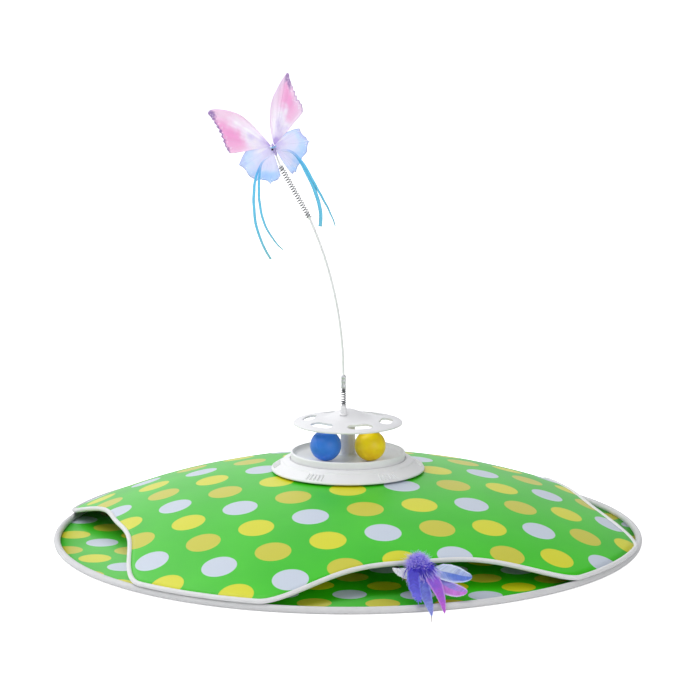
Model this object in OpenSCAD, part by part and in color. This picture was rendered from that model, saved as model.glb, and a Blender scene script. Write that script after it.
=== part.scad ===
// Hide-and-seek cat toy. A round printed mat carries a motor unit. A scalloped cover hangs from the unit
// and is sewn to the mat between four arched openings. Under it an arm sweeps a feather tuft from arch to
// arch. Above it two balls run in a tray under a slotted turntable that carries a butterfly on a sprung wand.
// Millimetres, origin at the middle of the mat's underside, +Z up. Bearings run from the front (-Y) to +X.

/* [Ground mat] */
// Outer diameter over the piping
mat_d = 600; // [480:5:760]
// Thickness of the printed fabric
mat_t = 1.6; // [1:0.1:3]
// Diameter of the mat's piping
mat_piping_d = 7; // [4:0.25:9]

/* [Cover] */
// Thickness of the printed fabric
cover_t = 1.2; // [0.8:0.1:2]
// Diameter of the cover's piping
cover_piping_d = 4.8; // [3:0.2:7]
// How far the piping's middle line lies inside the mat's rim
cover_inset = 1.5; // [0.5:0.5:12]
// Height of the cover where it meets its collar
cover_top_z = 70.4; // [66:0.2:80]
// Radius of the cover's bulging slope
cover_bulge_r = 650; // [450:10:1500]
// Number of arched openings
arch_count = 4; // [3:1:5]
// Bearing of the first arch
arch_bearing = 16; // [0:1:45]
// Half the angle that an arch spans
arch_half = 32.5; // [22:0.5:36]
// How far an arch is drawn in at its middle
arch_depth = 57; // [30:1:75]
// How square the shoulders of an arch are
arch_square = 3.3; // [2:0.1:4]

/* [Foot and housing] */
// Diameter of the plate on the mat
foot_d = 120; // [90:1:140]
// Thickness of the plate on the mat
foot_t = 4; // [3:0.5:6]
// Diameter of the pillar that the feather rotor turns on
pillar_d = 24; // [22:0.5:28]
// Outer diameter of the drive housing
housing_d = 124; // [116:1:128]
// Wall of the drive housing
housing_wall = 2.5; // [2:0.1:3]
// Diameter of the flange that the cover hangs on
flange_d = 150; // [140:1:152]
// Thickness of that flange
flange_t = 3; // [2:0.5:5]

/* [Top shell] */
// Diameter of the shell's lip
shell_d = 156; // [150:1:170]
// Height of the shell
shell_h = 11.4; // [10.6:0.2:13]
// Diameter of the step below the mouth
shell_step_d = 134; // [128:1:140]
// Wall of the shell
shell_t = 2.2; // [1.8:0.1:3]
// Number of rib groups on the slope
rib_groups = 6; // [3:1:7]
// Ribs in a group
ribs_per_group = 5; // [3:1:7]
// Bearing of the first group of ribs
rib_bearing = 33; // [0:1:60]
// Angle from one rib to the next
rib_pitch = 3.2; // [2.5:0.1:5]

/* [Ball tray] */
// Diameter of the tray's rim
tray_d = 116.6; // [112:0.2:118]
// Height of the rim above the floor
tray_rim_h = 4.5; // [3:0.5:8]
// Diameter of the column
column_d = 15; // [14:0.5:18]
// Diameter of a ball
ball_d = 31.6; // [26:0.2:33]
// Radius of the circle that the balls run on
ball_orbit_r = 36; // [32:0.5:38]
// Bearing of each ball either side of the front
ball_bearing = 38.5; // [30:0.5:80]

/* [Turntable] */
// Diameter of the disc
disc_d = 111; // [100:1:114]
// Thickness of the disc
disc_t = 2; // [1.6:0.1:3]
// Height of the hub above the disc's rim
hub_h = 13.5; // [10:0.5:20]
// Number of curved slots
slot_count = 6; // [4:1:8]
// Inner radius of a slot
slot_inner_r = 34; // [30:1:38]
// Outer radius of a slot
slot_outer_r = 46; // [42:1:50]
// Half the angle that a slot spans
slot_half = 19; // [10:1:20]
// Bearing of the first slot
slot_bearing = 18; // [0:1:59]

/* [Drive] */
// Module of all gears
gear_m = 1; // [0.9:0.05:1.1]
// Face width of the gears
gear_w = 4.5; // [3:0.5:5]
// Diameter of the turntable's spindle
spindle_d = 5; // [4:0.25:6]
// Diameter of the motor's shaft
shaft_d = 3; // [2.5:0.1:3.5]
// Backlash cut from each tooth at its pitch line
backlash = 0.14; // [0.1:0.01:0.25]
// Diameter of the feather arm
arm_d = 4; // [3:0.25:5]
// How far the feather arm reaches past the middle of an arch
arm_past = -2; // [-6:0.5:4]
// Length of the boss that grips the feather arm
arm_boss_l = 40; // [34:1:48]

/* [Wand] */
// Offset of the wand to the right of the hub's middle
wand_x = -4.5; // [-8:0.5:8]
// Offset of the wand behind the hub's middle
wand_y = -12; // [-14:0.5:-8]
// Diameter of the socket
socket_d = 6.3; // [5:0.1:8]
// Height of the socket above the hub
socket_h = 9; // [6:0.5:14]
// Outer diameter of the base spring
base_spring_d = 5.4; // [4.8:0.1:7]
// Wire of the base spring
base_spring_wire = 1.1; // [0.8:0.05:1.2]
// Turns of the base spring
base_spring_turns = 7; // [5:1:9]
// Length of the base spring
base_spring_h = 17.4; // [14:0.2:24]
// Length of the ferrule
ferrule_h = 13.7; // [8:0.1:20]
// Diameter of the wand's wire
wire_d = 2.6; // [1.5:0.1:2.8]
// Radius that the wire bends to
wire_bend_r = 393; // [250:1:900]
// Angle that the wire bends through
wire_bend = 24; // [10:1:40]
// Outer diameter of the tip spring
tip_spring_d = 5.8; // [5:0.1:8]
// Wire of the tip spring
tip_spring_wire = 0.9; // [0.6:0.05:1.1]
// Turns of the tip spring
tip_spring_turns = 22; // [12:1:26]
// Length of the tip spring
tip_spring_h = 59.5; // [50:0.5:80]
// Lean of the tip spring
tip_lean = 29; // [10:1:45]

/* [Butterfly] */
// Thickness of a wing
wing_t = 0.6; // [0.4:0.1:1.2]
// Diameter of the body
body_d = 3.8; // [3:0.1:6]
// Length of the body
body_l = 15; // [10:0.5:24]
// Lean of the body
body_lean = 20; // [0:1:40]
// Fold of the left wings away from the front
left_fold = 8; // [0:1:25]
// Fold of the right wings away from the front
right_fold = 22; // [0:1:25]
// Width of a ribbon
ribbon_w = 3; // [2:0.2:5]
// Thickness of a ribbon
ribbon_t = 0.8; // [0.5:0.1:1]

/* [Power] */
// Diameter of the battery cell
cell_d = 14.2; // [10:0.2:14.6]
// Length of the battery cell
cell_l = 50; // [40:0.5:50]
// Travel of the power button
button_travel = 1.2; // [0.6:0.1:1.5]
// Width of the power button
button_w = 10; // [7:0.5:11]
// Height of the power button
button_h = 3.8; // [3.5:0.1:4.6]

/* [Hidden] */
// Clearance between bodies that move past each other, and between soft pieces and their seats
run = 0.3;
soft = 0.2;
// Radial clearance of a shaft that turns in its bore
turn = 0.05;
$fn = 96;

// Ground mat and cover
mat_r = mat_d / 2;
piping_r = mat_piping_d / 2;
fabric_r = mat_r - piping_r - sqrt(pow(piping_r, 2) - pow(piping_r - mat_t, 2)) - soft;
hem_r = mat_r - cover_inset;
hem_z = mat_piping_d + cover_piping_d / 2 + soft;
collar_in = housing_d / 2 - 0.8;
collar_out = collar_in + 4.6;
cover_in = collar_out + run;

// Middle of the cover's slope: an arc of cover_bulge_r through the hem and the collar
slope_dr = hem_r - cover_in;
slope_dz = cover_top_z - hem_z;
slope_l = norm([slope_dr, slope_dz]);
slope_back = sqrt(pow(cover_bulge_r, 2) - pow(slope_l / 2, 2));
slope_r0 = (hem_r + cover_in) / 2 - slope_back * slope_dz / slope_l;
slope_z0 = (hem_z + cover_top_z) / 2 - slope_back * slope_dr / slope_l;
function slope_z(r) = slope_z0 + sqrt(pow(cover_bulge_r, 2) - pow(r - slope_r0, 2));

// Plan radius of the cover's edge: each arch is drawn in from the rim and eases back into it
arch_apex = hem_r - arch_depth;
function drawn_in(share) = share < 1 ? pow(1 - pow(share, arch_square), 2) : 0;
arch_pitch = 360 / arch_count;
function from_arch(b) = let(a = (b - arch_bearing) % arch_pitch, p = a < 0 ? a + arch_pitch : a)
    p > arch_pitch / 2 ? p - arch_pitch : p;
function edge_r(b) = hem_r - arch_depth * drawn_in(abs(from_arch(b)) / arch_half);
function edge_slope(b) = (edge_r(b + 0.5) - edge_r(b - 0.5)) * 180 / PI / edge_r(b);
edge_steps = 36 * arch_count;
arm_reach = arch_apex + arm_past;
function edge_bearing(i) = arch_bearing + i * 360 / edge_steps;

// Heights, from the mat up
foot_z = mat_t;
foot_top = foot_z + foot_t;
rotor_z = foot_top + run;
boss_r = arm_d / 2 + 2.2;
arm_z = rotor_z + boss_r;
rotor_gear_z = arm_z + boss_r + 1.2;
rotor_top = rotor_gear_z + gear_w;
housing_z = rotor_top + 1.5;
skirt_z = arm_z + boss_r + 1.6;
floor_t = 2.5;
floor_z = housing_z + floor_t;
hub_floor_z = housing_z + 6;
spindle_gear_z = hub_floor_z + 0.5;
motor_z = spindle_gear_z + gear_w + 2.5;
flange_z = cover_top_z - cover_t / 2 - 1.8;
collar_z = flange_z + soft;
collar_top = collar_z + 3;
shell_z = cover_top_z + 1.6;
shell_top = shell_z + shell_h;
ring_top = shell_top - 2;
ring_t = 2.2;
tray_floor_z = shell_top + 2.6;
tray_t = 2;
tray_wall = 2.6;
tray_rim_z = tray_floor_z + tray_rim_h;
ball_z = tray_floor_z + run + ball_d / 2;
disc_z = ball_z + ball_d / 2 + 1;
column_top = disc_z - 0.8;

// Gears: all pairs share one centre distance, with the motor behind the spindle
rotor_teeth = 45;
lower_teeth = 15;
spindle_teeth = 48;
upper_teeth = 12;
centre_d = gear_m * (rotor_teeth + lower_teeth) / 2;
pressure = 25;
addendum = 0.85;
dedendum = 1.1;
function involute(rb, r) = r <= rb ? 0 : sqrt(pow(r / rb, 2) - 1) * 180 / PI - acos(rb / r);
function gear_tip(n) = gear_m * (n / 2 + addendum);

// Screws
foot_screw_r = 7.4;
foot_screw_d = 3;
post_r = 4;
post_d = 2.8;
post_screw_l = 16;
post_orbit = tray_d / 2 - tray_wall - post_d - 1.4;
pilot = 0.04;

// Battery cell beside the front post, with a cap at one end
cell_y = post_r + cell_d / 2 + 0.4 - post_orbit;
cell_cap = 1;

// Circuit board, port and button at the back of the shell
board_z = shell_z + 1;
board_t = 1.6;
board_top = board_z + board_t;
board_w = 34;
board_front = 38;
board_back = shell_step_d / 2 - 4;
board_post = [13, 46];
port_x = -9;
port_w = 8.9;
port_h = 3.2;
port_l = 7.4;
port_y = board_back + 1;
button_x = 8;
button_z = board_top + 1.3;
button_in = board_back + 4.2;
button_out = shell_d / 2 - 2.4;
button_flange_w = button_w + 1.6;
button_flange_t = 1;

// Wand, from the hub up
wand_r = norm([wand_x, wand_y]);
hub_blend = 30;
disc_slope = 0.157;
function disc_top(r) = disc_z + disc_t + disc_slope * (disc_d / 2 - r);
hub_rise = hub_h - disc_slope * (disc_d / 2 - hub_blend);
function hub_top(r) = r > hub_blend ? disc_top(r) :
    disc_top(hub_blend) + hub_rise * (1 + cos(180 * r / hub_blend)) / 2;
socket_z = hub_top(wand_r) - 3.5;
socket_top = hub_top(wand_r) + socket_h;
spring_z = socket_top + soft;
ferrule_z = spring_z + base_spring_h + soft;
ferrule_d = base_spring_d - 0.4;
ferrule_top = ferrule_z + ferrule_h;
peg_r = base_spring_d / 2 - base_spring_wire - 0.25;
wire_end = [wand_x - wire_bend_r * (1 - cos(wire_bend)), wand_y, ferrule_top + wire_bend_r * sin(wire_bend)];
plug_r = tip_spring_d / 2 - tip_spring_wire - 0.25;
tip_end = wire_end + tip_spring_h * [-sin(tip_lean), 0, cos(tip_lean)];
stem_l = 17.4;
body_at = tip_end + stem_l * [-sin(body_lean), 0, cos(body_lean)];

// Wing outlines, across the body and along it, seen from the front
wing_upper_left = [[-1.8, 4.6], [-8, 21], [-17, 40], [-28, 51], [-44, 58.5], [-50.5, 56], [-48.5, 46],
    [-46, 33], [-45.5, 20], [-42, 12], [-30, 9.5], [-15, 7.5]];
wing_upper_right = [[1.8, 4.6], [6, 22], [14, 43], [23.5, 55], [33.5, 64], [39, 66], [39.5, 55], [39.5, 42],
    [42, 31], [39, 24], [31, 19.5], [22, 15], [8, 9]];
wing_lower_left = [[-2.3, 3.4], [-15, 9.6], [-28, 10], [-37.5, 1], [-36.5, -12], [-32, -22], [-22.5, -26],
    [-16.5, -31], [-5, -29.5], [-2.8, -17], [-2.4, -4]];
wing_lower_right = [[2.3, 4], [14, 12.6], [30, 12.8], [35.5, 1], [33, -10], [23.5, -19], [16, -27],
    [9, -29.5], [5, -18], [2.4, -4]];

// Ribbon routes, across and up at the butterfly, hanging free
ribbon_1 = [[-74.5, 398.5], [-81, 395.5], [-87.5, 389.5], [-91, 382.5], [-93.5, 375], [-95, 367.5],
    [-95.5, 359.5], [-96, 352], [-95.5, 344], [-95, 336], [-94, 328.5], [-92, 321], [-89.5, 313.5],
    [-86.5, 306], [-83, 299], [-79, 292.5]];
ribbon_2 = [[-74.5, 398], [-80.5, 396], [-86.5, 390.5], [-89, 384], [-90, 376.5], [-90.5, 369], [-90.5, 362],
    [-90.5, 354.5], [-89.5, 347], [-88.5, 340], [-86.5, 332.5], [-84, 325.5], [-80.5, 319], [-76.5, 313],
    [-72, 307], [-66.5, 302]];
ribbon_3 = [[-73.5, 401.5], [-66.5, 402.5], [-60, 401.5], [-54.5, 398], [-50.5, 393], [-47, 387.5],
    [-44, 381.5], [-41, 375.5], [-38, 369.5], [-35.5, 363.5], [-33.5, 357.5], [-31.5, 351.5], [-30, 345],
    [-29, 338.5], [-29, 332], [-29.5, 325.5]];
ribbon_4 = [[-73.5, 401], [-66, 401.5], [-59, 400.5], [-53.5, 397], [-49, 392.5], [-45, 387], [-41.5, 381],
    [-38.5, 375], [-35, 369], [-32, 363], [-28.5, 357], [-25.5, 351], [-22, 345], [-19.5, 339], [-16.5, 332.5],
    [-14.5, 326]];
// Where the ribbons were drawn, so that they follow the butterfly
ribbon_home = [-75.1, 402];
ribbon_near = body_d / 2 + ribbon_t / 2 + run;
ribbon_far = ribbon_near + ribbon_t + 0.5;

// Feather tuft: the crimp turns up at the arm's end, and spines run sideways, beyond the arm and up
crimp_tilt = 48;
crimp_l = 17;
crimp_r = arm_d / 2 + 1;
tuft_base = [0, 2 + (crimp_l + soft) * sin(crimp_tilt), arm_z + (crimp_l + soft) * cos(crimp_tilt)];
tuft_h = 29;
tuft_r = 13;
long_blue = [[-6, 25, 33], [-12, 41, 22.5], [-16, 62, 13], [-17, 82, 6.5], [-17, 99, 1.8]];
blue_drape = [[-10, 25, 36], [-15, 36, 29.5], [-18, 50, 21.5], [-19, 64, 14.5]];
long_pink = [[0, 26, 32.5], [1, 43, 24], [2, 60, 13], [4, 75, 2.4]];
broad_blue = [[4, 24, 37], [17, 31, 35.5], [29, 36, 31], [42, 40, 24.5]];
broad_pink = [[4, 22, 30], [14, 44, 22.5], [22, 55, 18], [30, 62, 16]];
short_pale = [[-10, 20, 34], [-19, 26, 31.5], [-27, 28, 33.5], [-32, 29, 37.5]];

// Points of a smooth curve through a list of points, n to a stretch, open or closed
function curve_at(a, b, c, d, t) = 0.5 * (2 * b + (c - a) * t + (2 * a - 5 * b + 4 * c - d) * t * t
    + (3 * b - a - 3 * c + d) * t * t * t);
function loop_curve(p, n) = let(m = len(p))
    [for (i = [0:m - 1], j = [0:n - 1])
        curve_at(p[(i + m - 1) % m], p[i], p[(i + 1) % m], p[(i + 2) % m], j / n)];
function open_curve(p, n) = let(m = len(p) - 1) concat([for (i = [0:m - 1], j = [0:n - 1])
    curve_at(p[max(i - 1, 0)], p[i], p[i + 1], p[min(i + 2, m)], j / n)], [p[m]]);

// A band swept along a path: half-width and half-thickness at each ring, thin way nearest to flat
function unit(v) = v / norm(v);
function ring_points(path, w, t, flat, sides, shut) = let(m = len(path)) [for (i = [0:m - 1])
    let(a = shut ? path[(i + m - 1) % m] : path[max(i - 1, 0)],
        b = shut ? path[(i + 1) % m] : path[min(i + 1, m - 1)],
        across = unit(cross(b - a, flat)),
        out = unit(cross(across, b - a)))
    for (k = [0:sides - 1]) path[i] + across * w[i] * cos(360 * k / sides) + out * t[i] * sin(360 * k / sides)];
module sweep(path, w, t, flat, sides = 8, shut = false) {
    m = len(path);
    last = (m - 1) * sides;
    walls = [for (i = [0:shut ? m - 1 : m - 2], k = [0:sides - 1])
        let(a = i * sides + k, b = i * sides + (k + 1) % sides, n = m * sides) each
            [[a, (a + sides) % n, b], [b, (a + sides) % n, (b + sides) % n]]];
    near_end = [for (k = [1:sides - 2]) [0, k, k + 1]];
    far_end = [for (k = [1:sides - 2]) [last, last + k + 1, last + k]];
    polyhedron(ring_points(path, w, t, flat, sides, shut), shut ? walls : concat(walls, near_end, far_end));
}

// A helical spring that stands on z = 0, as one tube of 8 rings of 6 sides to a turn
function helix(r, turns, h) =
    [for (i = [0:8 * turns]) [r * cos(45 * i), r * sin(45 * i), h * i / (8 * turns)]];
function least_gap(p, wire) =
    min([for (i = [0:len(p) - 6], j = [i + 5:min(i + 12, len(p) - 1)]) norm(p[i] - p[j])])
    - wire;
module spring(d, wire, turns, h) {
    path = helix((d - wire) / 2, turns, h - wire);
    r = [for (p = path) wire / 2];
    echo(least_self_gap = least_gap(path, wire));
    translate([0, 0, wire / 2])
        sweep(path, r, r, [0, 0, 1], 6);
}

// An involute gear with a bore, its first tooth along +X
module gear(n, bore_r, w) {
    pitch = gear_m * n / 2;
    base = pitch * cos(pressure);
    tip = gear_tip(n);
    root = pitch - dedendum * gear_m;
    start = max(base, root);
    half = 90 / n - backlash / 2 / pitch * 180 / PI + involute(base, pitch);
    flank = [for (k = [0:4]) let(r = start + (tip - start) * k / 4) [r, half - involute(base, r)]];
    tooth = concat([[root, -flank[0][1]]], [for (f = flank) [f[0], -f[1]]],
        [for (k = [4:-1:0]) flank[k]], [[root, flank[0][1]]]);
    linear_extrude(w)
        difference() {
            polygon([for (i = [0:n - 1], p = tooth) p[0] * [cos(p[1] + 360 * i / n), sin(p[1] + 360 * i / n)]]);
            circle(bore_r);
        }
}

// A pan-head screw that points up, its seat at z = 0
module screw(d, l, head_d, head_h) {
    translate([0, 0, -head_h])
        cylinder(d = head_d, h = head_h, $fn = 32);
    cylinder(d = d, h = l, $fn = 32);
}

module ring(out, in, h) {
    difference() {
        cylinder(r = out, h = h);
        translate([0, 0, -1])
            cylinder(r = in, h = h + 2);
    }
}

module at_posts() {
    for (a = [0, 120, 240])
        rotate([0, 0, a])
            translate([0, -post_orbit, 0])
                children();
}

module at_foot_screws() {
    for (a = [60, 180, 300])
        rotate([0, 0, a])
            translate([0, -foot_screw_r, 0])
                children();
}

module at_board_posts() {
    for (s = [-1, 1])
        translate([s * board_post[0], board_post[1], 0])
            children();
}

// A bar with round ends, w wide and h high, that runs back from y = 0
module pill(w, h, l) {
    rotate([-90, 0, 0])
        linear_extrude(l)
            union() {
                square([w - h, h], center = true);
                for (s = [-1, 1])
                    translate([s * (w - h) / 2, 0])
                        circle(d = h, $fn = 32);
            }
}

module ground_mat() {
    color("#4cc43c")
        cylinder(r = fabric_r, h = mat_t, $fn = 180);
}

module mat_piping() {
    color("#f2f2f0")
        rotate_extrude($fn = 180)
            translate([mat_r - piping_r, piping_r])
                circle(r = piping_r, $fn = 24);
}

// A fabric dome, cut back from its piping all along the scalloped edge
module cover() {
    reach = cover_piping_d / 2 + soft;
    outline = [for (i = [0:edge_steps - 1]) let(b = edge_bearing(i),
        r = edge_r(b) - reach * sqrt(1 + pow(edge_slope(b), 2))) r * [sin(b), -cos(b)]];
    color("#4cc43c")
        intersection() {
            rotate_extrude($fn = 180)
                intersection() {
                    translate([cover_in, 0])
                        square([hem_r - cover_in, cover_top_z + cover_t]);
                    translate([slope_r0, slope_z0])
                        difference() {
                            circle(r = cover_bulge_r + cover_t / 2, $fn = 360);
                            circle(r = cover_bulge_r - cover_t / 2, $fn = 360);
                        }
                }
            linear_extrude(cover_top_z + 2 * cover_t)
                polygon(outline);
        }
}

// The piping follows the arches up the slope and the rim between them
module cover_piping() {
    path = [for (i = [0:edge_steps - 1])
        let(b = edge_bearing(i), r = edge_r(b)) [r * sin(b), -r * cos(b), slope_z(r)]];
    r = [for (p = path) cover_piping_d / 2];
    color("#f2f2f0")
        sweep(path, r, r, [0, 0, 1], 8, true);
}

module cover_collar() {
    color("#3aa030")
        translate([0, 0, collar_z])
            ring(collar_out, collar_in, collar_top - collar_z);
}

module foot_plate() {
    color("#e8e8ea")
        difference() {
            union() {
                translate([0, 0, foot_z])
                    cylinder(d = foot_d, h = foot_t);
                translate([0, 0, foot_z])
                    cylinder(d = pillar_d, h = housing_z - foot_z);
            }
            translate([0, 0, foot_top + 2])
                cylinder(r = spindle_d / 2 + turn, h = housing_z, $fn = 48);
            at_foot_screws() {
                translate([0, 0, foot_z - 1])
                    cylinder(d = foot_screw_d + 0.4, h = housing_z, $fn = 32);
                translate([0, 0, foot_z - 1])
                    cylinder(d = 2 * foot_screw_d + 0.2, h = foot_t, $fn = 32);
            }
        }
}

module foot_screws() {
    color("#b8b8bc")
        at_foot_screws()
            translate([0, 0, foot_top - 1])
                screw(foot_screw_d, hub_floor_z - foot_top + 0.2, 2 * foot_screw_d - 0.2, 2.2);
}

// A cup with a skirt below its floor, the cover's flange on top and posts inside
module drive_housing() {
    inner = housing_d / 2 - housing_wall;
    color("#dcdce0")
        difference() {
            union() {
                difference() {
                    union() {
                        translate([0, 0, skirt_z])
                            cylinder(d = housing_d, h = flange_z - skirt_z);
                        translate([0, 0, flange_z - flange_t])
                            cylinder(d = flange_d, h = flange_t);
                    }
                    translate([0, 0, floor_z])
                        cylinder(r = inner, h = flange_z);
                    translate([0, 0, skirt_z - 1])
                        cylinder(r = inner, h = housing_z - skirt_z + 1);
                }
                translate([0, 0, housing_z])
                    cylinder(d = pillar_d + 2, h = hub_floor_z - housing_z);
                translate([0, 0, housing_z])
                    at_posts() {
                        cylinder(r = post_r, h = ring_top - ring_t - housing_z, $fn = 48);
                        translate([-1, post_orbit - inner - 1, 0])
                            cube([2, inner - post_orbit, flange_z - housing_z - 4]);
                    }
                translate([0, 0, housing_z])
                    at_board_posts()
                        cylinder(r = 3, h = board_z - housing_z, $fn = 32);
            }
            translate([0, 0, housing_z - 1])
                cylinder(d = spindle_d + 1, h = 20, $fn = 48);
            translate([0, centre_d, housing_z - 1])
                cylinder(d = shaft_d + 1.4, h = 20, $fn = 48);
            translate([0, 0, housing_z - 1])
                at_foot_screws()
                    cylinder(r = foot_screw_d / 2 + pilot, h = hub_floor_z - housing_z + 0.6, $fn = 32);
            translate([0, 0, ring_top - post_screw_l - 2])
                at_posts()
                    cylinder(r = post_d / 2 + pilot, h = post_screw_l + 4, $fn = 32);
            translate([0, 0, board_z - 7])
                at_board_posts()
                    cylinder(r = 1 + pilot, h = 10, $fn = 32);
        }
}

// A cone with a lip and a step, a rib that presses the collar down and a ring that carries the tray
module top_shell() {
    mouth = tray_d / 2 + 1;
    step_r = shell_step_d / 2;
    step_z = shell_z + 8.2;
    lip = shell_d / 2;
    ledge = post_orbit - 4.6;
    through = shell_d / 4;
    outer = [[lip, shell_z], [lip, shell_z + 1.5], [lip - 1, shell_z + 2.3], [step_r, step_z],
        [step_r - 0.6, step_z + 1.2], [mouth + 2.2, shell_top - 0.2], [mouth, shell_top]];
    inner = [[mouth, ring_top], [ledge, ring_top], [ledge, ring_top - ring_t],
        [collar_in + 0.4, ring_top - ring_t], [collar_in + 0.4, collar_top + soft],
        [collar_out - 0.6, collar_top + soft], [collar_out - 0.6, ring_top - ring_t],
        [step_r - 0.8, step_z + 0.2 - shell_t], [lip - shell_t - 0.5, shell_z + 0.9],
        [lip - shell_t - 0.2, shell_z]];
    slope = atan2(step_z - shell_z - 2.3, lip - 1 - step_r);
    color("#ececee")
        difference() {
            union() {
                rotate_extrude($fn = 180)
                    polygon(concat(outer, inner));
                for (g = [0:rib_groups - 1], k = [0:ribs_per_group - 1])
                    rotate([0, 0, rib_bearing + g * 360 / rib_groups])
                        rotate([0, 0, (k - (ribs_per_group - 1) / 2) * rib_pitch])
                            translate([0, -lip + 3.4, shell_z + 2.6])
                                rotate([slope, 0, 0])
                                    translate([-0.5, 0, 0])
                                        cube([1, 8, 1.3]);
            }
            translate([0, 0, ring_top - 10])
                at_posts()
                    cylinder(d = post_d + 0.4, h = 20, $fn = 32);
            intersection() {
                translate([-board_w / 2 - 1, mouth - 10, board_z - 0.4])
                    cube([board_w + 2, board_back - mouth + 16, ring_top - ring_t - board_z + 0.4]);
                cylinder(r = collar_out, h = shell_top);
            }
            translate([port_x - port_w / 2 - 0.6, port_y, board_top - 0.6])
                cube([port_w + 1.2, through, port_h + 1.2]);
            translate([button_x, button_in, button_z])
                pill(button_w + 2 * run, button_h + 2 * run, through);
            translate([button_x, button_in - button_travel - run, button_z])
                pill(button_flange_w + 2 * run, button_h + 2 * run, button_travel + button_flange_t + 2 * run);
        }
}

module shell_screws() {
    color("#b8b8bc")
        at_posts()
            translate([0, 0, ring_top])
                rotate([180, 0, 0])
                    screw(post_d, post_screw_l, 2 * post_d, 1.8);
}

// A dished track with a rolled rim, and the column up the middle
module ball_tray() {
    rim = tray_d / 2;
    wall = tray_wall;
    bore = column_d / 2 - 1.9;
    z = tray_floor_z;
    color("#ececee")
        rotate_extrude($fn = 180)
            polygon([[bore, z - tray_t], [rim - wall, z - tray_t], [rim - wall, ring_top + soft],
                [rim, ring_top + soft], [rim, tray_rim_z - 0.9], [rim - 0.9, tray_rim_z],
                [rim - wall + 0.7, tray_rim_z], [rim - wall, tray_rim_z - 0.7], [rim - wall - 1.2, z + 1.2],
                [rim - wall - 3.4, z],
                [column_d / 2 + 3, z], [column_d / 2 + 1, z + 1], [column_d / 2, z + 3],
                [column_d / 2, column_top], [bore, column_top]]);
}

module spindle_bushes() {
    h = 8;
    color("#c8a860")
        for (z = [tray_floor_z - tray_t, column_top - h])
            translate([0, 0, z])
                ring(column_d / 2 - 1.9 - turn, spindle_d / 2 + turn, h);
}

// A small gear motor that stands on its output shaft
module gear_motor() {
    color("#c9ccd2")
        translate([0, centre_d, motor_z])
            difference() {
                union() {
                    translate([-6, -5, 0])
                        cube([12, 10, 9]);
                    translate([0, 0, 9])
                        intersection() {
                            cylinder(d = 12, h = 15);
                            translate([-6, -5, 0])
                                cube([12, 10, 15]);
                        }
                    translate([0, 0, 24])
                        cylinder(d = 5, h = 1.2, $fn = 32);
                    for (s = [-1, 1])
                        translate([s * 4 - 0.8, -0.3, 24])
                            cube([1.6, 0.6, 3]);
                }
                translate([0, 0, -1])
                    cylinder(r = shaft_d / 2 + turn, h = 9, $fn = 48);
            }
}

module motor_bracket() {
    w = 24;
    d = 15;
    leg = 3;
    color("#dcdce0")
        translate([0, centre_d, 0])
            difference() {
                union() {
                    translate([-w / 2, -d / 2, motor_z])
                        cube([w, d, 8]);
                    for (s = [-1, 1])
                        translate([s * (w - leg) / 2 - leg / 2, -d / 2 + 2.5, floor_z])
                            cube([leg, d - 2.5, motor_z - floor_z + 1]);
                }
                translate([-6 - soft, -5 - soft, motor_z - 1])
                    cube([12 + 2 * soft, 10 + 2 * soft, 12]);
            }
}

module battery_cell() {
    color("#3c62a8")
        translate([-cell_l / 2, cell_y, floor_z + 1.8 + cell_d / 2])
            rotate([0, 90, 0])
                union() {
                    cylinder(d = cell_d, h = cell_l, $fn = 64);
                    translate([0, 0, cell_l])
                        cylinder(d = cell_d * 0.38, h = cell_cap, $fn = 32);
                }
}

module battery_holder() {
    inside = cell_l + 2 * (cell_cap + run);
    end = 2;
    color("#3a3d42")
        translate([-inside / 2, cell_y - cell_d / 2, floor_z])
            union() {
                translate([-end, 0, 0])
                    cube([inside + 2 * end, cell_d, 1.6]);
                for (x = [-end, inside])
                    translate([x, 0, 0])
                        cube([end, cell_d, 12]);
            }
}

module circuit_board() {
    color("#2f7d46")
        difference() {
            translate([-board_w / 2, board_front, board_z])
                cube([board_w, board_back - board_front, board_t]);
            translate([0, 0, board_z - 1])
                at_board_posts()
                    cylinder(r = 1.2, h = board_t + 2, $fn = 32);
        }
}

module board_screws() {
    color("#b8b8bc")
        at_board_posts()
            translate([0, 0, board_top])
                rotate([180, 0, 0])
                    screw(2, 7, 3.8, 1.5);
}

module tact_switch() {
    color("#2a2b2e")
        translate([button_x, board_back, board_top]) {
            translate([-3, -4, 0])
                cube([6, 4, 3.4]);
            translate([-1.5, -0.5, 0.6])
                cube([3, button_in - button_travel - 0.1 - board_back + 0.5, 1.4]);
        }
}

// A flat charging socket with its tongue
module charging_port() {
    color("#a9adb3")
        translate([port_x, port_y, board_top + port_h / 2])
            difference() {
                pill(port_w, port_h, port_l);
                translate([0, 1, 0])
                    difference() {
                        pill(port_w - 0.6, port_h - 0.6, port_l);
                        translate([-3.3, 0, -0.35])
                            cube([6.6, port_l - 2, 0.7]);
                    }
            }
}

module power_button() {
    color("#f0a030")
        translate([button_x, button_in, button_z])
            union() {
                pill(button_w, button_h, button_out - button_in);
                pill(button_flange_w, button_h, button_flange_t);
            }
}

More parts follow.
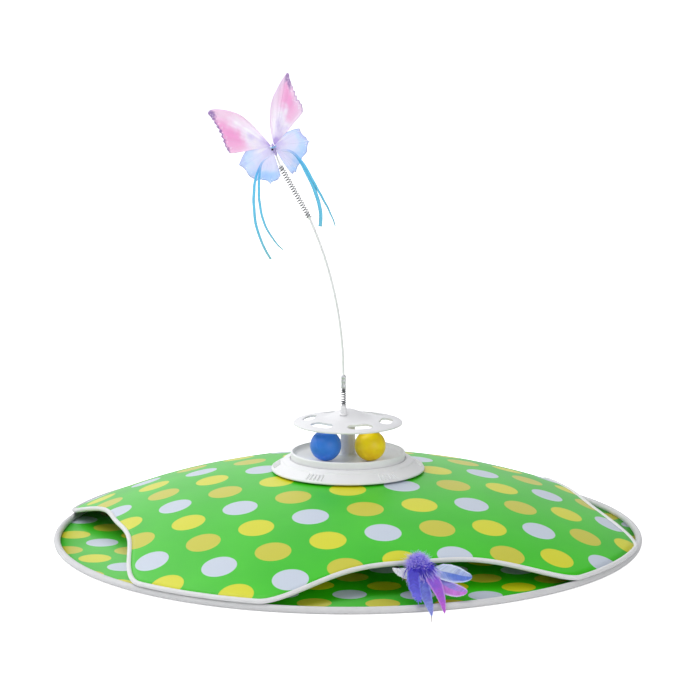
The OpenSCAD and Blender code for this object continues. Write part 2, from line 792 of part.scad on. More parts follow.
// A toothed ring that runs on the pillar and holds the arm
module feather_rotor() {
    bore = pillar_d / 2 + turn;
    hub = pillar_d / 2 + 5;
    color("#6a6e76")
        difference() {
            union() {
                translate([0, 0, rotor_gear_z])
                    rotate([0, 0, 90])
                        gear(rotor_teeth, bore - 2, gear_w);
                translate([0, 0, rotor_z])
                    cylinder(r = hub, h = rotor_gear_z - rotor_z + 1);
                rotate([0, 0, arch_bearing])
                    translate([0, 0, arm_z])
                        rotate([90, 0, 0])
                            cylinder(r = boss_r, h = arm_boss_l, $fn = 48);
            }
            translate([0, 0, rotor_z - 1])
                cylinder(r = bore, h = rotor_top - rotor_z + 2);
            rotate([0, 0, arch_bearing])
                translate([0, -hub, arm_z])
                    rotate([90, 0, 0])
                        cylinder(r = arm_d / 2 + pilot, h = arm_boss_l, $fn = 48);
        }
}

module feather_arm() {
    start = pillar_d / 2 + 5.2;
    color("#2f3136")
        rotate([0, 0, arch_bearing])
            translate([0, -start, arm_z])
                rotate([90, 0, 0])
                    cylinder(d = arm_d, h = arm_reach - start, $fn = 48);
}

// The crimped end that the feathers are tied into
module feather_ferrule() {
    color("#a9adb3")
        rotate([0, 0, arch_bearing])
            difference() {
                union() {
                    translate([0, 8 - arm_reach, arm_z])
                        rotate([90, 0, 0])
                            cylinder(r = crimp_r, h = 10, $fn = 48);
                    translate([0, -2 - arm_reach, arm_z])
                        sphere(r = crimp_r + 0.4, $fn = 48);
                    translate([0, -2 - arm_reach, arm_z])
                        rotate([crimp_tilt, 0, 0])
                            cylinder(r = crimp_r, h = crimp_l, $fn = 48);
                }
                translate([0, 9 - arm_reach, arm_z])
                    rotate([90, 0, 0])
                        cylinder(r = arm_d / 2 + pilot, h = 9, $fn = 48);
            }
}

// A soft pear of down round the feathers' quills
module feather_fluff() {
    pear = [for (k = [0:12])
        [tuft_r * sin(15 * k) * (1 - 0.6 * pow(k / 12, 2)), tuft_h * (1 + cos(15 * k)) / 2]];
    color("#5a5cd0")
        rotate([0, 0, arch_bearing])
            translate([tuft_base[0], -arm_reach - tuft_base[1], tuft_base[2]])
                rotate([19, -11, 0])
                    rotate_extrude($fn = 48)
                        polygon(pear);
}

// A flat feather along a spine: widest past the middle, with a quill at its root
module plume(spine, half_w, root = 0.5) {
    path = [for (p = open_curve(spine, 4)) [p[0], -arm_reach - p[1], p[2]]];
    m = len(path) - 1;
    w = [for (i = [0:m]) root + (half_w - root) * pow(sin(180 * pow(i / m, 0.8)), 0.7) * (i == m ? 0 : 1)];
    t = [for (i = [0:m]) 0.5 - 0.2 * i / m];
    rotate([0, 0, arch_bearing])
        sweep(path, w, t, [0, -0.8, 1], 8);
}

module feather_long_blue() {
    color("#4a56d8")
        plume(long_blue, 6);
}

module feather_blue_drape() {
    color("#5a5cd0")
        plume(blue_drape, 6);
}

module feather_long_pink() {
    color("#d86ad0")
        plume(long_pink, 7);
}

module feather_broad_blue() {
    color("#8ea6ee")
        plume(broad_blue, 9);
}

module feather_broad_pink() {
    color("#d890dc")
        plume(broad_pink, 7);
}

module feather_short_pale() {
    color("#d8dcf0")
        plume(short_pale, 4);
}

module motor_shaft() {
    color("#b8bcc2")
        translate([0, centre_d, rotor_gear_z - 0.2])
            cylinder(d = shaft_d, h = motor_z - rotor_gear_z + 7, $fn = 48);
}

module upper_pinion() {
    color("#d8b050")
        translate([0, centre_d, spindle_gear_z])
            rotate([0, 0, 180 / upper_teeth - 90])
                gear(upper_teeth, shaft_d / 2 + pilot, gear_w);
}

module lower_pinion() {
    color("#d8b050")
        translate([0, centre_d, rotor_gear_z])
            rotate([0, 0, 180 / lower_teeth - 90])
                gear(lower_teeth, shaft_d / 2 + pilot, gear_w);
}

module spindle() {
    color("#b8bcc2")
        translate([0, 0, foot_top + 2.5])
            cylinder(d = spindle_d, h = disc_z + disc_t + 8 - foot_top, $fn = 48);
}

module spindle_gear() {
    color("#e6e6e8")
        translate([0, 0, spindle_gear_z])
            rotate([0, 0, 90])
                union() {
                    gear(spindle_teeth, spindle_d / 2 + pilot, gear_w);
                    translate([0, 0, gear_w])
                        ring(spindle_d / 2 + 3, spindle_d / 2 + pilot, 4);
                }
}

// A shallow cone with curved slots, a rounded hub and the boss that grips the spindle
module turntable() {
    rim = disc_d / 2;
    steps = 10;
    boss = spindle_d / 2 + 3.5;
    top = concat([[rim, disc_z + 0.5], [rim, disc_z + disc_t - 0.6], [rim - 0.7, disc_z + disc_t + 0.1]],
        [for (k = [0:steps]) let(r = hub_blend * (1 - k / steps)) [r, hub_top(r)]]);
    under = concat([[0, disc_z + 0.2], [boss, disc_z + 0.2], [boss, hub_top(boss) - 2 * disc_t]],
        [for (k = [steps / 2:-1:0]) let(r = hub_blend * (1 - k / steps)) [r, hub_top(r) - disc_t - 0.3]],
        [[rim - 2, disc_z + 0.1], [rim - 0.6, disc_z]]);
    mid = (slot_inner_r + slot_outer_r) / 2;
    slot_w = slot_outer_r - slot_inner_r;
    end = slot_half - asin(slot_w / 2 / mid);
    color("#f0f0f2")
        difference() {
            rotate_extrude($fn = 180)
                polygon(concat(top, under));
            translate([0, 0, disc_z - 1])
                cylinder(r = spindle_d / 2 + pilot, h = disc_t + 13, $fn = 48);
            for (i = [0:slot_count - 1])
                rotate([0, 0, slot_bearing + i * 360 / slot_count - 90])
                    translate([0, 0, disc_z - 2])
                        union() {
                            rotate([0, 0, -end])
                                rotate_extrude(angle = 2 * end)
                                    translate([slot_inner_r, 0])
                                        square([slot_w, 20]);
                            for (s = [-1, 1])
                                rotate([0, 0, s * end])
                                    translate([mid, 0, 0])
                                        cylinder(d = slot_w, h = 20, $fn = 48);
                        }
            translate([wand_x, wand_y, socket_z - soft])
                cylinder(d = socket_d + 2 * pilot, h = 20, $fn = 48);
        }
}

module wand_socket() {
    color("#f0f0f2")
        translate([wand_x, wand_y, socket_z])
            union() {
                cylinder(d = socket_d, h = socket_top - socket_z, $fn = 48);
                translate([0, 0, socket_top - socket_z])
                    cylinder(r = peg_r, h = 3.5, $fn = 32);
            }
}

module wand_base_spring() {
    color("#c4c6ca")
        translate([wand_x, wand_y, spring_z])
            spring(base_spring_d, base_spring_wire, base_spring_turns, base_spring_h);
}

module wand_ferrule() {
    color("#9a9da3")
        translate([wand_x, wand_y, ferrule_z])
            difference() {
                union() {
                    cylinder(d = ferrule_d, h = ferrule_h, $fn = 48);
                    translate([0, 0, -3.5])
                        cylinder(r = peg_r, h = 4, $fn = 32);
                }
                translate([0, 0, ferrule_h - 9])
                    cylinder(r = wire_d / 2 + pilot, h = 10, $fn = 32);
            }
}

// A bowed wire, with the crimp that holds the tip spring
module wand_wire() {
    color("#e4e4e6")
        union() {
            translate([wand_x, wand_y, ferrule_top - 8.8])
                cylinder(d = wire_d, h = 8.8, $fn = 24);
            translate([wand_x - wire_bend_r, wand_y, ferrule_top])
                rotate([90, 0, 0])
                    rotate_extrude(angle = wire_bend, $fn = 720)
                        translate([wire_bend_r, 0])
                            circle(d = wire_d, $fn = 24);
            translate(wire_end)
                rotate([0, -tip_lean, 0])
                    translate([0, 0, -1.2])
                        cylinder(r = plug_r, h = 7, $fn = 32);
        }
}

module wand_tip_spring() {
    color("#b0b2b8")
        translate(wire_end)
            rotate([0, -tip_lean, 0])
                spring(tip_spring_d, tip_spring_wire, tip_spring_turns, tip_spring_h);
}

module butterfly_stem() {
    color("#b0b2b8")
        union() {
            translate(tip_end)
                rotate([0, -tip_lean, 0])
                    translate([0, 0, -5])
                        cylinder(r = plug_r, h = 6, $fn = 32);
            translate(tip_end)
                rotate([0, -body_lean, 0])
                    cylinder(d = 1, h = stem_l - body_l / 2 + 3, $fn = 24);
        }
}

module butterfly_body() {
    color("#4a3a52")
        translate(body_at)
            rotate([0, -body_lean, 0])
                difference() {
                    rotate_extrude($fn = 48)
                        polygon([for (k = [0:12]) [body_d / 2 * sin(15 * k), -body_l / 2 * cos(15 * k)]]);
                    translate([0, 0, -body_l / 2 - 1])
                        cylinder(d = 1 + 4 * pilot, h = 4.4, $fn = 24);
                }
}

// A thin wing, turned about the body away from the front. Its outline is drawn as seen from there.
module wing(outline, fold, back) {
    seen = [for (p = outline) [p[0] / cos(fold), p[1]]];
    translate(body_at)
        rotate([0, -body_lean, 0])
            rotate([0, 0, (outline[0][0] < 0 ? -1 : 1) * fold])
                rotate([90, 0, 0])
                    translate([0, 0, -wing_t / 2 - back])
                        linear_extrude(wing_t)
                            polygon(loop_curve(seen, 3));
}

module wing_upper_left() {
    color("#e2a2dc")
        wing(wing_upper_left, left_fold, 0);
}

module wing_upper_right() {
    color("#e2a2dc")
        wing(wing_upper_right, right_fold, 0);
}

module wing_lower_left() {
    color("#b2b4f0")
        wing(wing_lower_left, left_fold, wing_t + 0.4);
}

module wing_lower_right() {
    color("#b2b4f0")
        wing(wing_lower_right, right_fold, wing_t + 0.4);
}

// A narrow ribbon that hangs in front of the wings
module ribbon(route, front) {
    path = [for (p = route)
        [body_at[0] + p[0] - ribbon_home[0], wand_y - front, body_at[2] + p[1] - ribbon_home[1]]];
    w = [for (p = path) ribbon_w / 2];
    t = [for (p = path) ribbon_t / 2];
    color("#58c8cc")
        sweep(path, w, t, [0, 1, 0], 8);
}

module ribbon_left_outer() {
    ribbon(ribbon_1, ribbon_near);
}

module ribbon_left_inner() {
    ribbon(ribbon_2, ribbon_far);
}

module ribbon_right_inner() {
    ribbon(ribbon_3, ribbon_near);
}

module ribbon_right_outer() {
    ribbon(ribbon_4, ribbon_far);
}

module ball(bearing) {
    rotate([0, 0, bearing])
        translate([0, -ball_orbit_r, ball_z])
            sphere(d = ball_d);
}

module blue_ball() {
    color("#3f78cc")
        ball(-ball_bearing);
}

module yellow_ball() {
    color("#d8bc14")
        ball(ball_bearing);
}

ground_mat();
mat_piping();
cover();
cover_piping();
cover_collar();
foot_plate();
foot_screws();
drive_housing();
top_shell();
shell_screws();
ball_tray();
spindle_bushes();
gear_motor();
motor_bracket();
battery_cell();
battery_holder();
circuit_board();
board_screws();
tact_switch();
charging_port();
power_button();
feather_rotor();
feather_arm();
feather_ferrule();
feather_fluff();
feather_long_blue();
feather_blue_drape();
feather_long_pink();
feather_broad_blue();
feather_broad_pink();
feather_short_pale();
motor_shaft();
upper_pinion();
lower_pinion();
spindle();
spindle_gear();
turntable();
wand_socket();
wand_base_spring();
wand_ferrule();
wand_wire();
wand_tip_spring();
butterfly_stem();
butterfly_body();
wing_upper_left();
wing_upper_right();
wing_lower_left();
wing_lower_right();
ribbon_left_outer();
ribbon_left_inner();
ribbon_right_inner();
ribbon_right_outer();
blue_ball();
yellow_ball();
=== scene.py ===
import math
import random

import bmesh
import bpy
from mathutils import Matrix, Vector, noise


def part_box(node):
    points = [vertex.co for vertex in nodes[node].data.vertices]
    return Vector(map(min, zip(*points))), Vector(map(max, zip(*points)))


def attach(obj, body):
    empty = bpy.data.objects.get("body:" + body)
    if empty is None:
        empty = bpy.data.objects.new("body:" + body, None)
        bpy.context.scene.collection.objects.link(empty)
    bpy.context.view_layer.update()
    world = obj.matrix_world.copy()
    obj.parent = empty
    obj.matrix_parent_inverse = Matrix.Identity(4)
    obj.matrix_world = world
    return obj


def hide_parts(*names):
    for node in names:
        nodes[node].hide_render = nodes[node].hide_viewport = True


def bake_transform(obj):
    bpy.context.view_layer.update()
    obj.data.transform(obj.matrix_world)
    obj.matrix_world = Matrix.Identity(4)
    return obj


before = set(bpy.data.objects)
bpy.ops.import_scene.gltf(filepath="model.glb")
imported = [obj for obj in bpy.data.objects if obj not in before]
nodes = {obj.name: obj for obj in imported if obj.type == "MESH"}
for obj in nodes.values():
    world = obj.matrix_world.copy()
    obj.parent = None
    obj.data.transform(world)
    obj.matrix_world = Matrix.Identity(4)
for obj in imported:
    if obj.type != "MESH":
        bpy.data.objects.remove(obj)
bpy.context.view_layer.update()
mm = 0.001
weld = 0.002 * mm    # points nearer than this become one
print("frame loaded:", len(nodes), "nodes")


# colours are sRGB hex, and the shader sockets take linear values
def linear(hexColour):
    parts = [int(hexColour[i:i + 2], 16) / 255 for i in (1, 3, 5)]
    return [p / 12.92 if p <= 0.04045 else ((p + 0.055) / 1.055) ** 2.4 for p in parts] + [1]


# settings that many nodes share, and the two kinds of node that are used for a later socket than their
# first
eased = {"interpolation_type": "SMOOTHSTEP"}
tinted = {"data_type": "RGBA"}
times = {"operation": "MULTIPLY"}
laterSocket = {"TexCoord": "Object", "TexWave": "Fac"}


# one shader node: what goes into its sockets (values or other sockets), its colour stops and its settings;
# it gives back the socket that goes on
def addNode(tree, kind, into, stops=(), **settings):
    node = tree.nodes.new("ShaderNode" + kind)
    for name, value in settings.items():
        setattr(node, name, value)
    for socket, value in into.items():
        if isinstance(value, bpy.types.NodeSocket):
            tree.links.new(value, node.inputs[socket])
        else:
            node.inputs[socket].default_value = value
    if stops:
        elements = node.color_ramp.elements
        while len(elements) < len(stops):
            elements.new(1)
        for element, (at, colour) in zip(elements, stops):
            element.position = at
            element.color = linear(colour)
    if kind in laterSocket:
        return node.outputs[laterSocket[kind]]
    return next(socket for socket in node.outputs if socket.enabled)


def newMaterial(name, **constants):
    material = bpy.data.materials.new(name)
    material.use_nodes = True
    tree = material.node_tree
    for socket, value in constants.items():
        tree.nodes["Principled BSDF"].inputs[socket.replace("_", " ")].default_value = value
    return material, tree


# what the nodes give goes to the shader
def linked(material, **into):
    tree = material.node_tree
    for socket, value in into.items():
        tree.links.new(value, tree.nodes["Principled BSDF"].inputs[socket.replace("_", " ")])
    return material


# noise and wave textures count in their own units, so a size in mm is turned into their scale
def noiseOf(size, detail):
    return {"Scale": 1 / (size * mm), "Detail": detail}


def waveScale(period):
    return 2 * math.pi / (20 * period * mm)


# a mesh is shaded smooth and goes to its piece
def keepMesh(bm, mesh):
    for face in bm.faces:
        face.smooth = True
    bm.to_mesh(mesh)
    bm.free()


def cleaned(bm, verts):
    bmesh.ops.remove_doubles(bm, verts=verts, dist=weld)
    bmesh.ops.recalc_face_normals(bm, faces=bm.faces)


def finishPiece(bm, name, material, clean=True):
    if clean:
        cleaned(bm, bm.verts)
    mesh = bpy.data.meshes.new(name)
    keepMesh(bm, mesh)
    piece = bpy.data.objects.new(name, mesh)
    bpy.context.scene.collection.objects.link(piece)
    if material:
        mesh.materials.append(material)
    return piece


# the piece with its modifiers made real
def applied(piece):
    depsgraph = bpy.context.evaluated_depsgraph_get()
    mesh = bpy.data.meshes.new_from_object(piece.evaluated_get(depsgraph))
    piece.modifiers.clear()
    piece.data = mesh
    return piece


def place(piece, body, slot, *replaced):
    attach(piece, body)
    if replaced:
        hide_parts(*replaced)


# cloth and film get their thickness to both sides
def thickened(piece, thick):
    wall = piece.modifiers.new("thickness", "SOLIDIFY")
    wall.thickness = thick
    wall.offset = 0
    return piece


# every corner of every face gets its spot on a map
def mapCorners(bm, name, spotOf):
    uv = bm.loops.layers.uv.new(name)
    for face in bm.faces:
        for loop in face.loops:
            loop[uv].uv = spotOf(loop.vert)


# flat faces are pulled out into a block
def pullOut(bm, way):
    pulled = bmesh.ops.extrude_face_region(bm, geom=bm.faces[:])["geom"]
    bmesh.ops.translate(bm, verts=[v for v in pulled if isinstance(v, bmesh.types.BMVert)], vec=way)


# a smooth line through given points, steps to a stretch
def smoothLine(points, steps):
    line = []
    last = len(points) - 1
    for i in range(last):
        a, b = points[max(i - 1, 0)], points[i]
        c, d = points[i + 1], points[min(i + 2, last)]
        for k in range(steps):
            t = k / steps
            line.append(0.5 * (2 * b + (c - a) * t + (2 * a - 5 * b + 4 * c - d) * t * t
                               + (3 * b - a - 3 * c + d) * t * t * t))
    return line + [points[last].copy()]


# a round bar along a line, by Blender's own curve bevel, then made a mesh
def barAlong(name, line, radius, material, sides, closed=False):
    curve = bpy.data.curves.new(name, "CURVE")
    curve.dimensions = "3D"
    curve.bevel_depth = radius
    curve.bevel_resolution = sides
    curve.use_fill_caps = not closed
    spline = curve.splines.new("POLY")
    spline.points.add(len(line) - 1)
    for point, at in zip(spline.points, line):
        point.co = (*at, 1)
    spline.use_cyclic_u = closed
    wire = bpy.data.objects.new(name + "Line", curve)
    bpy.context.scene.collection.objects.link(wire)
    depsgraph = bpy.context.evaluated_depsgraph_get()
    bm = bmesh.new()
    bm.from_mesh(wire.evaluated_get(depsgraph).to_mesh())
    bpy.data.objects.remove(wire)
    return finishPiece(bm, name, material)


# a profile in (radius, height), corners rounded, turned about a line that stands at (x, y)
def turned(bm, profile, rounding, steps, at=(0, 0)):
    start = len(bm.verts)
    points = [bm.verts.new((at[0] + r, at[1], z)) for r, z in profile]
    for i in range(len(points)):
        bm.edges.new((points[i], points[(i + 1) % len(points)]))
    if rounding:
        bmesh.ops.bevel(bm, geom=points, offset=rounding, segments=3, profile=0.5, affect="VERTICES",
                        material=-1)
    bm.verts.ensure_lookup_table()
    edges = [e for e in bm.edges if e.is_wire]
    bmesh.ops.spin(bm, geom=edges + list({v for e in edges for v in e.verts}), cent=(*at, 0),
                   axis=(0, 0, 1), angle=2 * math.pi, steps=steps, use_merge=True)
    return bm.verts[start:]


print("camera and light")
camera = {"at": (0, -2.985, 0.742), "pitch": 10.39, "lens": 154.13, "sensor": 36, "shift": 0.003}


def addCamera():
    eye = bpy.data.objects.new("camera", bpy.data.cameras.new("camera"))
    eye.location = camera["at"]
    eye.rotation_euler = (math.radians(90 - camera["pitch"]), 0, 0)
    eye.data.lens = camera["lens"]
    eye.data.sensor_width = camera["sensor"]
    eye.data.shift_x = camera["shift"]
    bpy.context.scene.collection.objects.link(eye)
    bpy.context.scene.camera = eye


# soft boxes that look at the toy, in a room that is white all round and brightest behind the toy, to the
# left
studio = {
    "key": {"at": (-0.9, -1.0, 2.7), "size": 2.4, "power": 37},
    "window": {"at": (-2.2, 1.2, 2.2), "size": 2.4, "power": 24},
    "fill": {"at": (1.5, -2.4, 0.7), "size": 1.8, "power": 23},
}
room = {"white": "#fafbff", "brightest": (-0.7, 0.7, 0.1), "spread": 0.95, "low": 0.28, "high": 1.12,
        "toy": (0, 0, 0.1)}


def addStudio():
    for name, light in studio.items():
        lamp = bpy.data.lights.new(name, "AREA")
        lamp.size = light["size"]
        lamp.energy = light["power"]
        box = bpy.data.objects.new(name, lamp)
        box.location = light["at"]
        box.rotation_euler = (Vector(room["toy"]) - box.location).to_track_quat("-Z", "Y").to_euler()
        bpy.context.scene.collection.objects.link(box)
    world = bpy.data.worlds.new("white room")
    world.use_nodes = True
    tree = world.node_tree
    towards = addNode(tree, "TexCoord", {}).node.outputs["Generated"]
    behind = addNode(tree, "VectorMath", {0: towards, 1: room["brightest"]}, operation="DOT_PRODUCT")
    glow = addNode(tree, "MapRange", {"Value": behind, "From Max": room["spread"], "To Min": room["low"],
                                      "To Max": room["high"]}, **eased)
    tree.nodes["Background"].inputs["Color"].default_value = linear(room["white"])
    tree.links.new(glow, tree.nodes["Background"].inputs["Strength"])
    bpy.context.scene.world = world
    bpy.context.scene.view_settings.view_transform = "Standard"


floorSet = {"size": 12, "below": 0.3 * mm, "whiten": 0.8, "fibre": 40,
            "tones": [(0, "#f4f4f4"), (1, "#f8f8f8")]}


# white paper sweep: bright enough to read as paper, with a faint contact shadow
def addFloor():
    paper, tree = newMaterial("white sweep paper", Roughness=0.8, Specular_IOR_Level=0.2,
                              Emission_Color=linear("#ffffff"))
    seen = addNode(tree, "LightPath", {})
    whiten = addNode(tree, "Math", {0: seen, 1: floorSet["whiten"]}, **times)
    at = addNode(tree, "TexCoord", {})
    fibre = addNode(tree, "TexNoise", {"Vector": at, **noiseOf(floorSet["fibre"], 2)})
    tone = addNode(tree, "ValToRGB", {"Fac": fibre}, floorSet["tones"])
    linked(paper, Emission_Strength=whiten, Base_Color=tone)
    bm = bmesh.new()
    bmesh.ops.create_grid(bm, x_segments=4, y_segments=4, size=floorSet["size"])
    bmesh.ops.translate(bm, verts=bm.verts, vec=(0, 0, -floorSet["below"]))
    finishPiece(bm, "floorPaper", paper)


addCamera()
addStudio()
addFloor()


print("ribbons")
# the routes of the solids, in metres across and up; twist is in degrees at the two ends
ribbonSet = {"thick": 0.35 * mm, "shift": (1.82 * mm, -2.53 * mm), "steps": 4, "crown": 0.12 * mm,
             "mapWide": 3 * mm, "gathered": 0.35, "gatherEnds": 0.35, "cutEdge": "#3f93a6",
             "dyeLength": 115 * mm, "dyes": [(0.0, "#d6cfee"), (0.09, "#cdd2f5"), (0.17, "#8db8ee"),
                                             (0.24, "#58b2e8"), (0.34, "#5fc2ea"), (0.75, "#62bfe2"),
                                             (1.0, "#74bccb")]}
ribbonRoutes = {
    "ribbon_left_outer": {"depth": -14.6 * mm, "width": 2.8 * mm, "twist": (0, 38), "route": [
        (-0.0745, 0.3985), (-0.081, 0.3955), (-0.0875, 0.3895), (-0.091, 0.3825), (-0.0935, 0.375),
        (-0.095, 0.3675), (-0.0955, 0.3595), (-0.096, 0.352), (-0.0955, 0.344), (-0.095, 0.336),
        (-0.094, 0.3285), (-0.092, 0.321), (-0.0895, 0.3135), (-0.0865, 0.306), (-0.083, 0.299),
        (-0.079, 0.2925)]},
    "ribbon_left_inner": {"depth": -15.9 * mm, "width": 2.6 * mm, "twist": (0, 66), "route": [
        (-0.0745, 0.398), (-0.0805, 0.396), (-0.0865, 0.3905), (-0.089, 0.384), (-0.09, 0.3765),
        (-0.0905, 0.369), (-0.0905, 0.362), (-0.0905, 0.3545), (-0.0895, 0.347), (-0.0885, 0.34),
        (-0.0865, 0.3325), (-0.084, 0.3255), (-0.0805, 0.319), (-0.0765, 0.313), (-0.072, 0.307),
        (-0.0665, 0.302)]},
    "ribbon_right_inner": {"depth": -14.6 * mm, "width": 3.6 * mm, "twist": (0, 8), "route": [
        (-0.0735, 0.4015), (-0.0665, 0.4025), (-0.06, 0.4015), (-0.0545, 0.398), (-0.0505, 0.393),
        (-0.047, 0.3875), (-0.044, 0.3815), (-0.041, 0.3755), (-0.038, 0.3695), (-0.0355, 0.3635),
        (-0.0335, 0.3575), (-0.0315, 0.3515), (-0.03, 0.345), (-0.029, 0.3385), (-0.029, 0.332),
        (-0.0295, 0.3255)]},
    "ribbon_right_outer": {"depth": -15.9 * mm, "width": 2.6 * mm, "twist": (0, 72), "route": [
        (-0.0735, 0.401), (-0.066, 0.4015), (-0.059, 0.4005), (-0.0535, 0.397), (-0.049, 0.3925),
        (-0.045, 0.387), (-0.0415, 0.381), (-0.0385, 0.375), (-0.035, 0.369), (-0.032, 0.363),
        (-0.0285, 0.357), (-0.0255, 0.351), (-0.022, 0.345), (-0.0195, 0.339), (-0.0165, 0.3325),
        (-0.0145, 0.326)]},
}


# satin ribbon: warp threads run along it, so it has a silky band of light and a fine cross rib; the dye is
# paler where the ribbon is tied to the wings, and the cut edges are darker
def satinRibbon(name, dyes):
    material, tree = newMaterial(name, Roughness=0.36, Sheen_Weight=0.2, Sheen_Roughness=0.4, IOR=1.5,
                                 Emission_Strength=0.18)
    uv = addNode(tree, "UVMap", {}, uv_map="ribbon")
    u, v = addNode(tree, "SeparateXYZ", {"Vector": uv}).node.outputs[:2]
    rib = addNode(tree, "TexWave", {"Vector": uv, "Scale": waveScale(0.9), "Distortion": 0.6},
                  bands_direction="Y")
    shade = addNode(tree, "TexNoise", {"Vector": uv, **noiseOf(9, 3)})
    drift = addNode(tree, "MapRange", {"Value": shade, "To Min": -8 * mm, "To Max": 8 * mm})
    along = addNode(tree, "Math", {0: v, 1: drift}, operation="ADD")
    share = addNode(tree, "MapRange", {"Value": along, "From Max": ribbonSet["dyeLength"]})
    dyed = addNode(tree, "ValToRGB", {"Fac": share}, dyes)
    aside = addNode(tree, "Math", {0: u}, operation="ABSOLUTE")
    edge = addNode(tree, "MapRange", {"Value": aside, "From Min": 0.9 * mm, "From Max": 1.6 * mm,
                                      "To Max": 0.8}, **eased)
    far = addNode(tree, "MapRange", {"Value": share, "From Min": 0.22, "From Max": 0.5})
    worn = addNode(tree, "Math", {0: edge, 1: far}, **times)
    tone = addNode(tree, "Mix", {"Factor": worn, "A": dyed, "B": linear(ribbonSet["cutEdge"])}, **tinted)
    bump = addNode(tree, "Bump", {"Height": rib, "Strength": 0.25, "Distance": 0.1 * mm})
    # its own glow stands for the light that comes through it from behind
    return linked(material, Emission_Color=tone, Base_Color=tone, Normal=bump)


# a flat band bent along a line, with its own map in metres: across (as if 3 mm wide) and along
def bandAlong(name, line, width, thick, twist, material, gathered=1):
    last = len(line) - 1
    run = [0]
    for a, b in zip(line, line[1:]):
        run.append(run[-1] + (b - a).length)
    bm = bmesh.new()
    bmesh.ops.create_grid(bm, x_segments=2, y_segments=last, size=0.5)
    spots = {}
    for vert in bm.verts:
        i = round((vert.co.y + 0.5) * last)
        along = (line[min(i + 1, last)] - line[max(i - 1, 0)]).normalized()
        share = run[i] / run[-1]
        turn = math.radians(twist[0] + (twist[1] - twist[0]) * share * share)
        across = Matrix.Rotation(turn, 3, along) @ along.cross(Vector((0, 1, 0))).normalized()
        spots[vert] = (vert.co.x * ribbonSet["mapWide"], run[i])
        crown = Vector((0, -1, 0)) * ribbonSet["crown"] * (1 - abs(2 * vert.co.x))
        full = gathered + (1 - gathered) * min(1, share / ribbonSet["gatherEnds"])
        vert.co = line[i] + across * vert.co.x * width * full + crown
    mapCorners(bm, "ribbon", spots.get)
    piece = finishPiece(bm, name, material, clean=False)
    return applied(thickened(piece, thick)), run[-1]


def addRibbons():
    satin = satinRibbon("cyan satin ribbon", ribbonSet["dyes"])
    dx, dz = ribbonSet["shift"]
    for name, band in ribbonRoutes.items():
        points = [Vector((x + dx, band["depth"], z + dz)) for x, z in band["route"]]
        line = smoothLine(points, ribbonSet["steps"])
        piece, length = bandAlong(name + "_satin", line, band["width"], ribbonSet["thick"], band["twist"],
                                  satin, gathered=ribbonSet["gathered"])
        place(piece, "butterfly", "ribbon", name)


addRibbons()


print("printed fabric")
dotInks = {"ground": [(0.35, "#30c204"), (0.65, "#3acc08")],
           "dots": [(0, "#cbd5e3"), (0.2, "#cdc934"), (0.5, "#dcdb14")]}    # lavender, mustard and yellow
coverDots = {"pitch": 55.28 * mm, "size": 35.4 * mm, "turn": 17.82, "origin": (-35.95 * mm, -151.28 * mm),
             "order": 1}
matDots = {"pitch": 45.5 * mm, "size": 32.6 * mm, "turn": 43.1, "origin": (1.6 * mm, -231.6 * mm),
           "order": -1}


# coated polyester with a dot print: a smooth film over a fine weave, so it pales when seen at a low angle
def dottedPolyester(name, dots):
    material, tree = newMaterial(name, Roughness=0.38, IOR=1.5, Specular_IOR_Level=0.5)
    uv = addNode(tree, "UVMap", {}, uv_map="print")
    cells = addNode(tree, "Mapping", {"Vector": uv, "Location": (*dots["origin"], 0),
                                      "Rotation": (0, 0, math.radians(dots["turn"])),
                                      "Scale": (dots["pitch"], dots["pitch"], 1)}, vector_type="TEXTURE")
    shifted = addNode(tree, "VectorMath", {0: cells, 1: (0.5, 0.5, 0)}, operation="ADD")
    index = addNode(tree, "VectorMath", {0: shifted}, operation="FLOOR")
    inside = addNode(tree, "VectorMath", {0: cells, 1: index}, operation="SUBTRACT")
    flat = addNode(tree, "VectorMath", {0: inside, 1: (1, 1, 0)}, **times)
    away = addNode(tree, "VectorMath", {0: flat}, operation="LENGTH")
    edge = dots["size"] / dots["pitch"] / 2
    ink = addNode(tree, "MapRange", {"Value": away, "From Min": edge - 0.008, "From Max": edge + 0.008,
                                     "To Min": 1, "To Max": 0}, **eased)
    # the three inks follow each other along both rows
    column, row = addNode(tree, "SeparateXYZ", {"Vector": index}).node.outputs[:2]
    steps = addNode(tree, "Math", {0: column, 1: row}, operation="ADD")
    order = addNode(tree, "Math", {0: steps, 1: dots["order"]}, **times)
    which = addNode(tree, "Math", {0: order, 1: 3}, operation="FLOORED_MODULO")
    third = addNode(tree, "Math", {0: which, 1: 3}, operation="DIVIDE")
    inks = addNode(tree, "ValToRGB", {"Fac": third}, dotInks["dots"])
    inks.node.color_ramp.interpolation = "CONSTANT"
    cloud = addNode(tree, "TexNoise", {"Vector": uv, **noiseOf(90, 4)})
    ground = addNode(tree, "ValToRGB", {"Fac": cloud}, dotInks["ground"])
    printed = addNode(tree, "Mix", {"Factor": ink, "A": ground, "B": inks}, **tinted)
    # threads are about 0.3 mm apart, drawn at 1.4 mm so that the weave shows
    warp = addNode(tree, "TexWave", {"Vector": uv, "Scale": waveScale(1.4)}, bands_direction="X")
    weft = addNode(tree, "TexWave", {"Vector": uv, "Scale": waveScale(1.4)}, bands_direction="Y")
    weave = addNode(tree, "Math", {0: warp, 1: weft}, **times)
    tint = addNode(tree, "MapRange", {"Value": weave, "To Min": 0.97, "To Max": 1.03})
    cloth = addNode(tree, "VectorMath", {0: printed, "Scale": tint}, operation="SCALE")
    bump = addNode(tree, "Bump", {"Height": weave, "Strength": 0.12, "Distance": 0.12 * mm})
    return linked(material, Base_Color=cloth, Normal=bump)


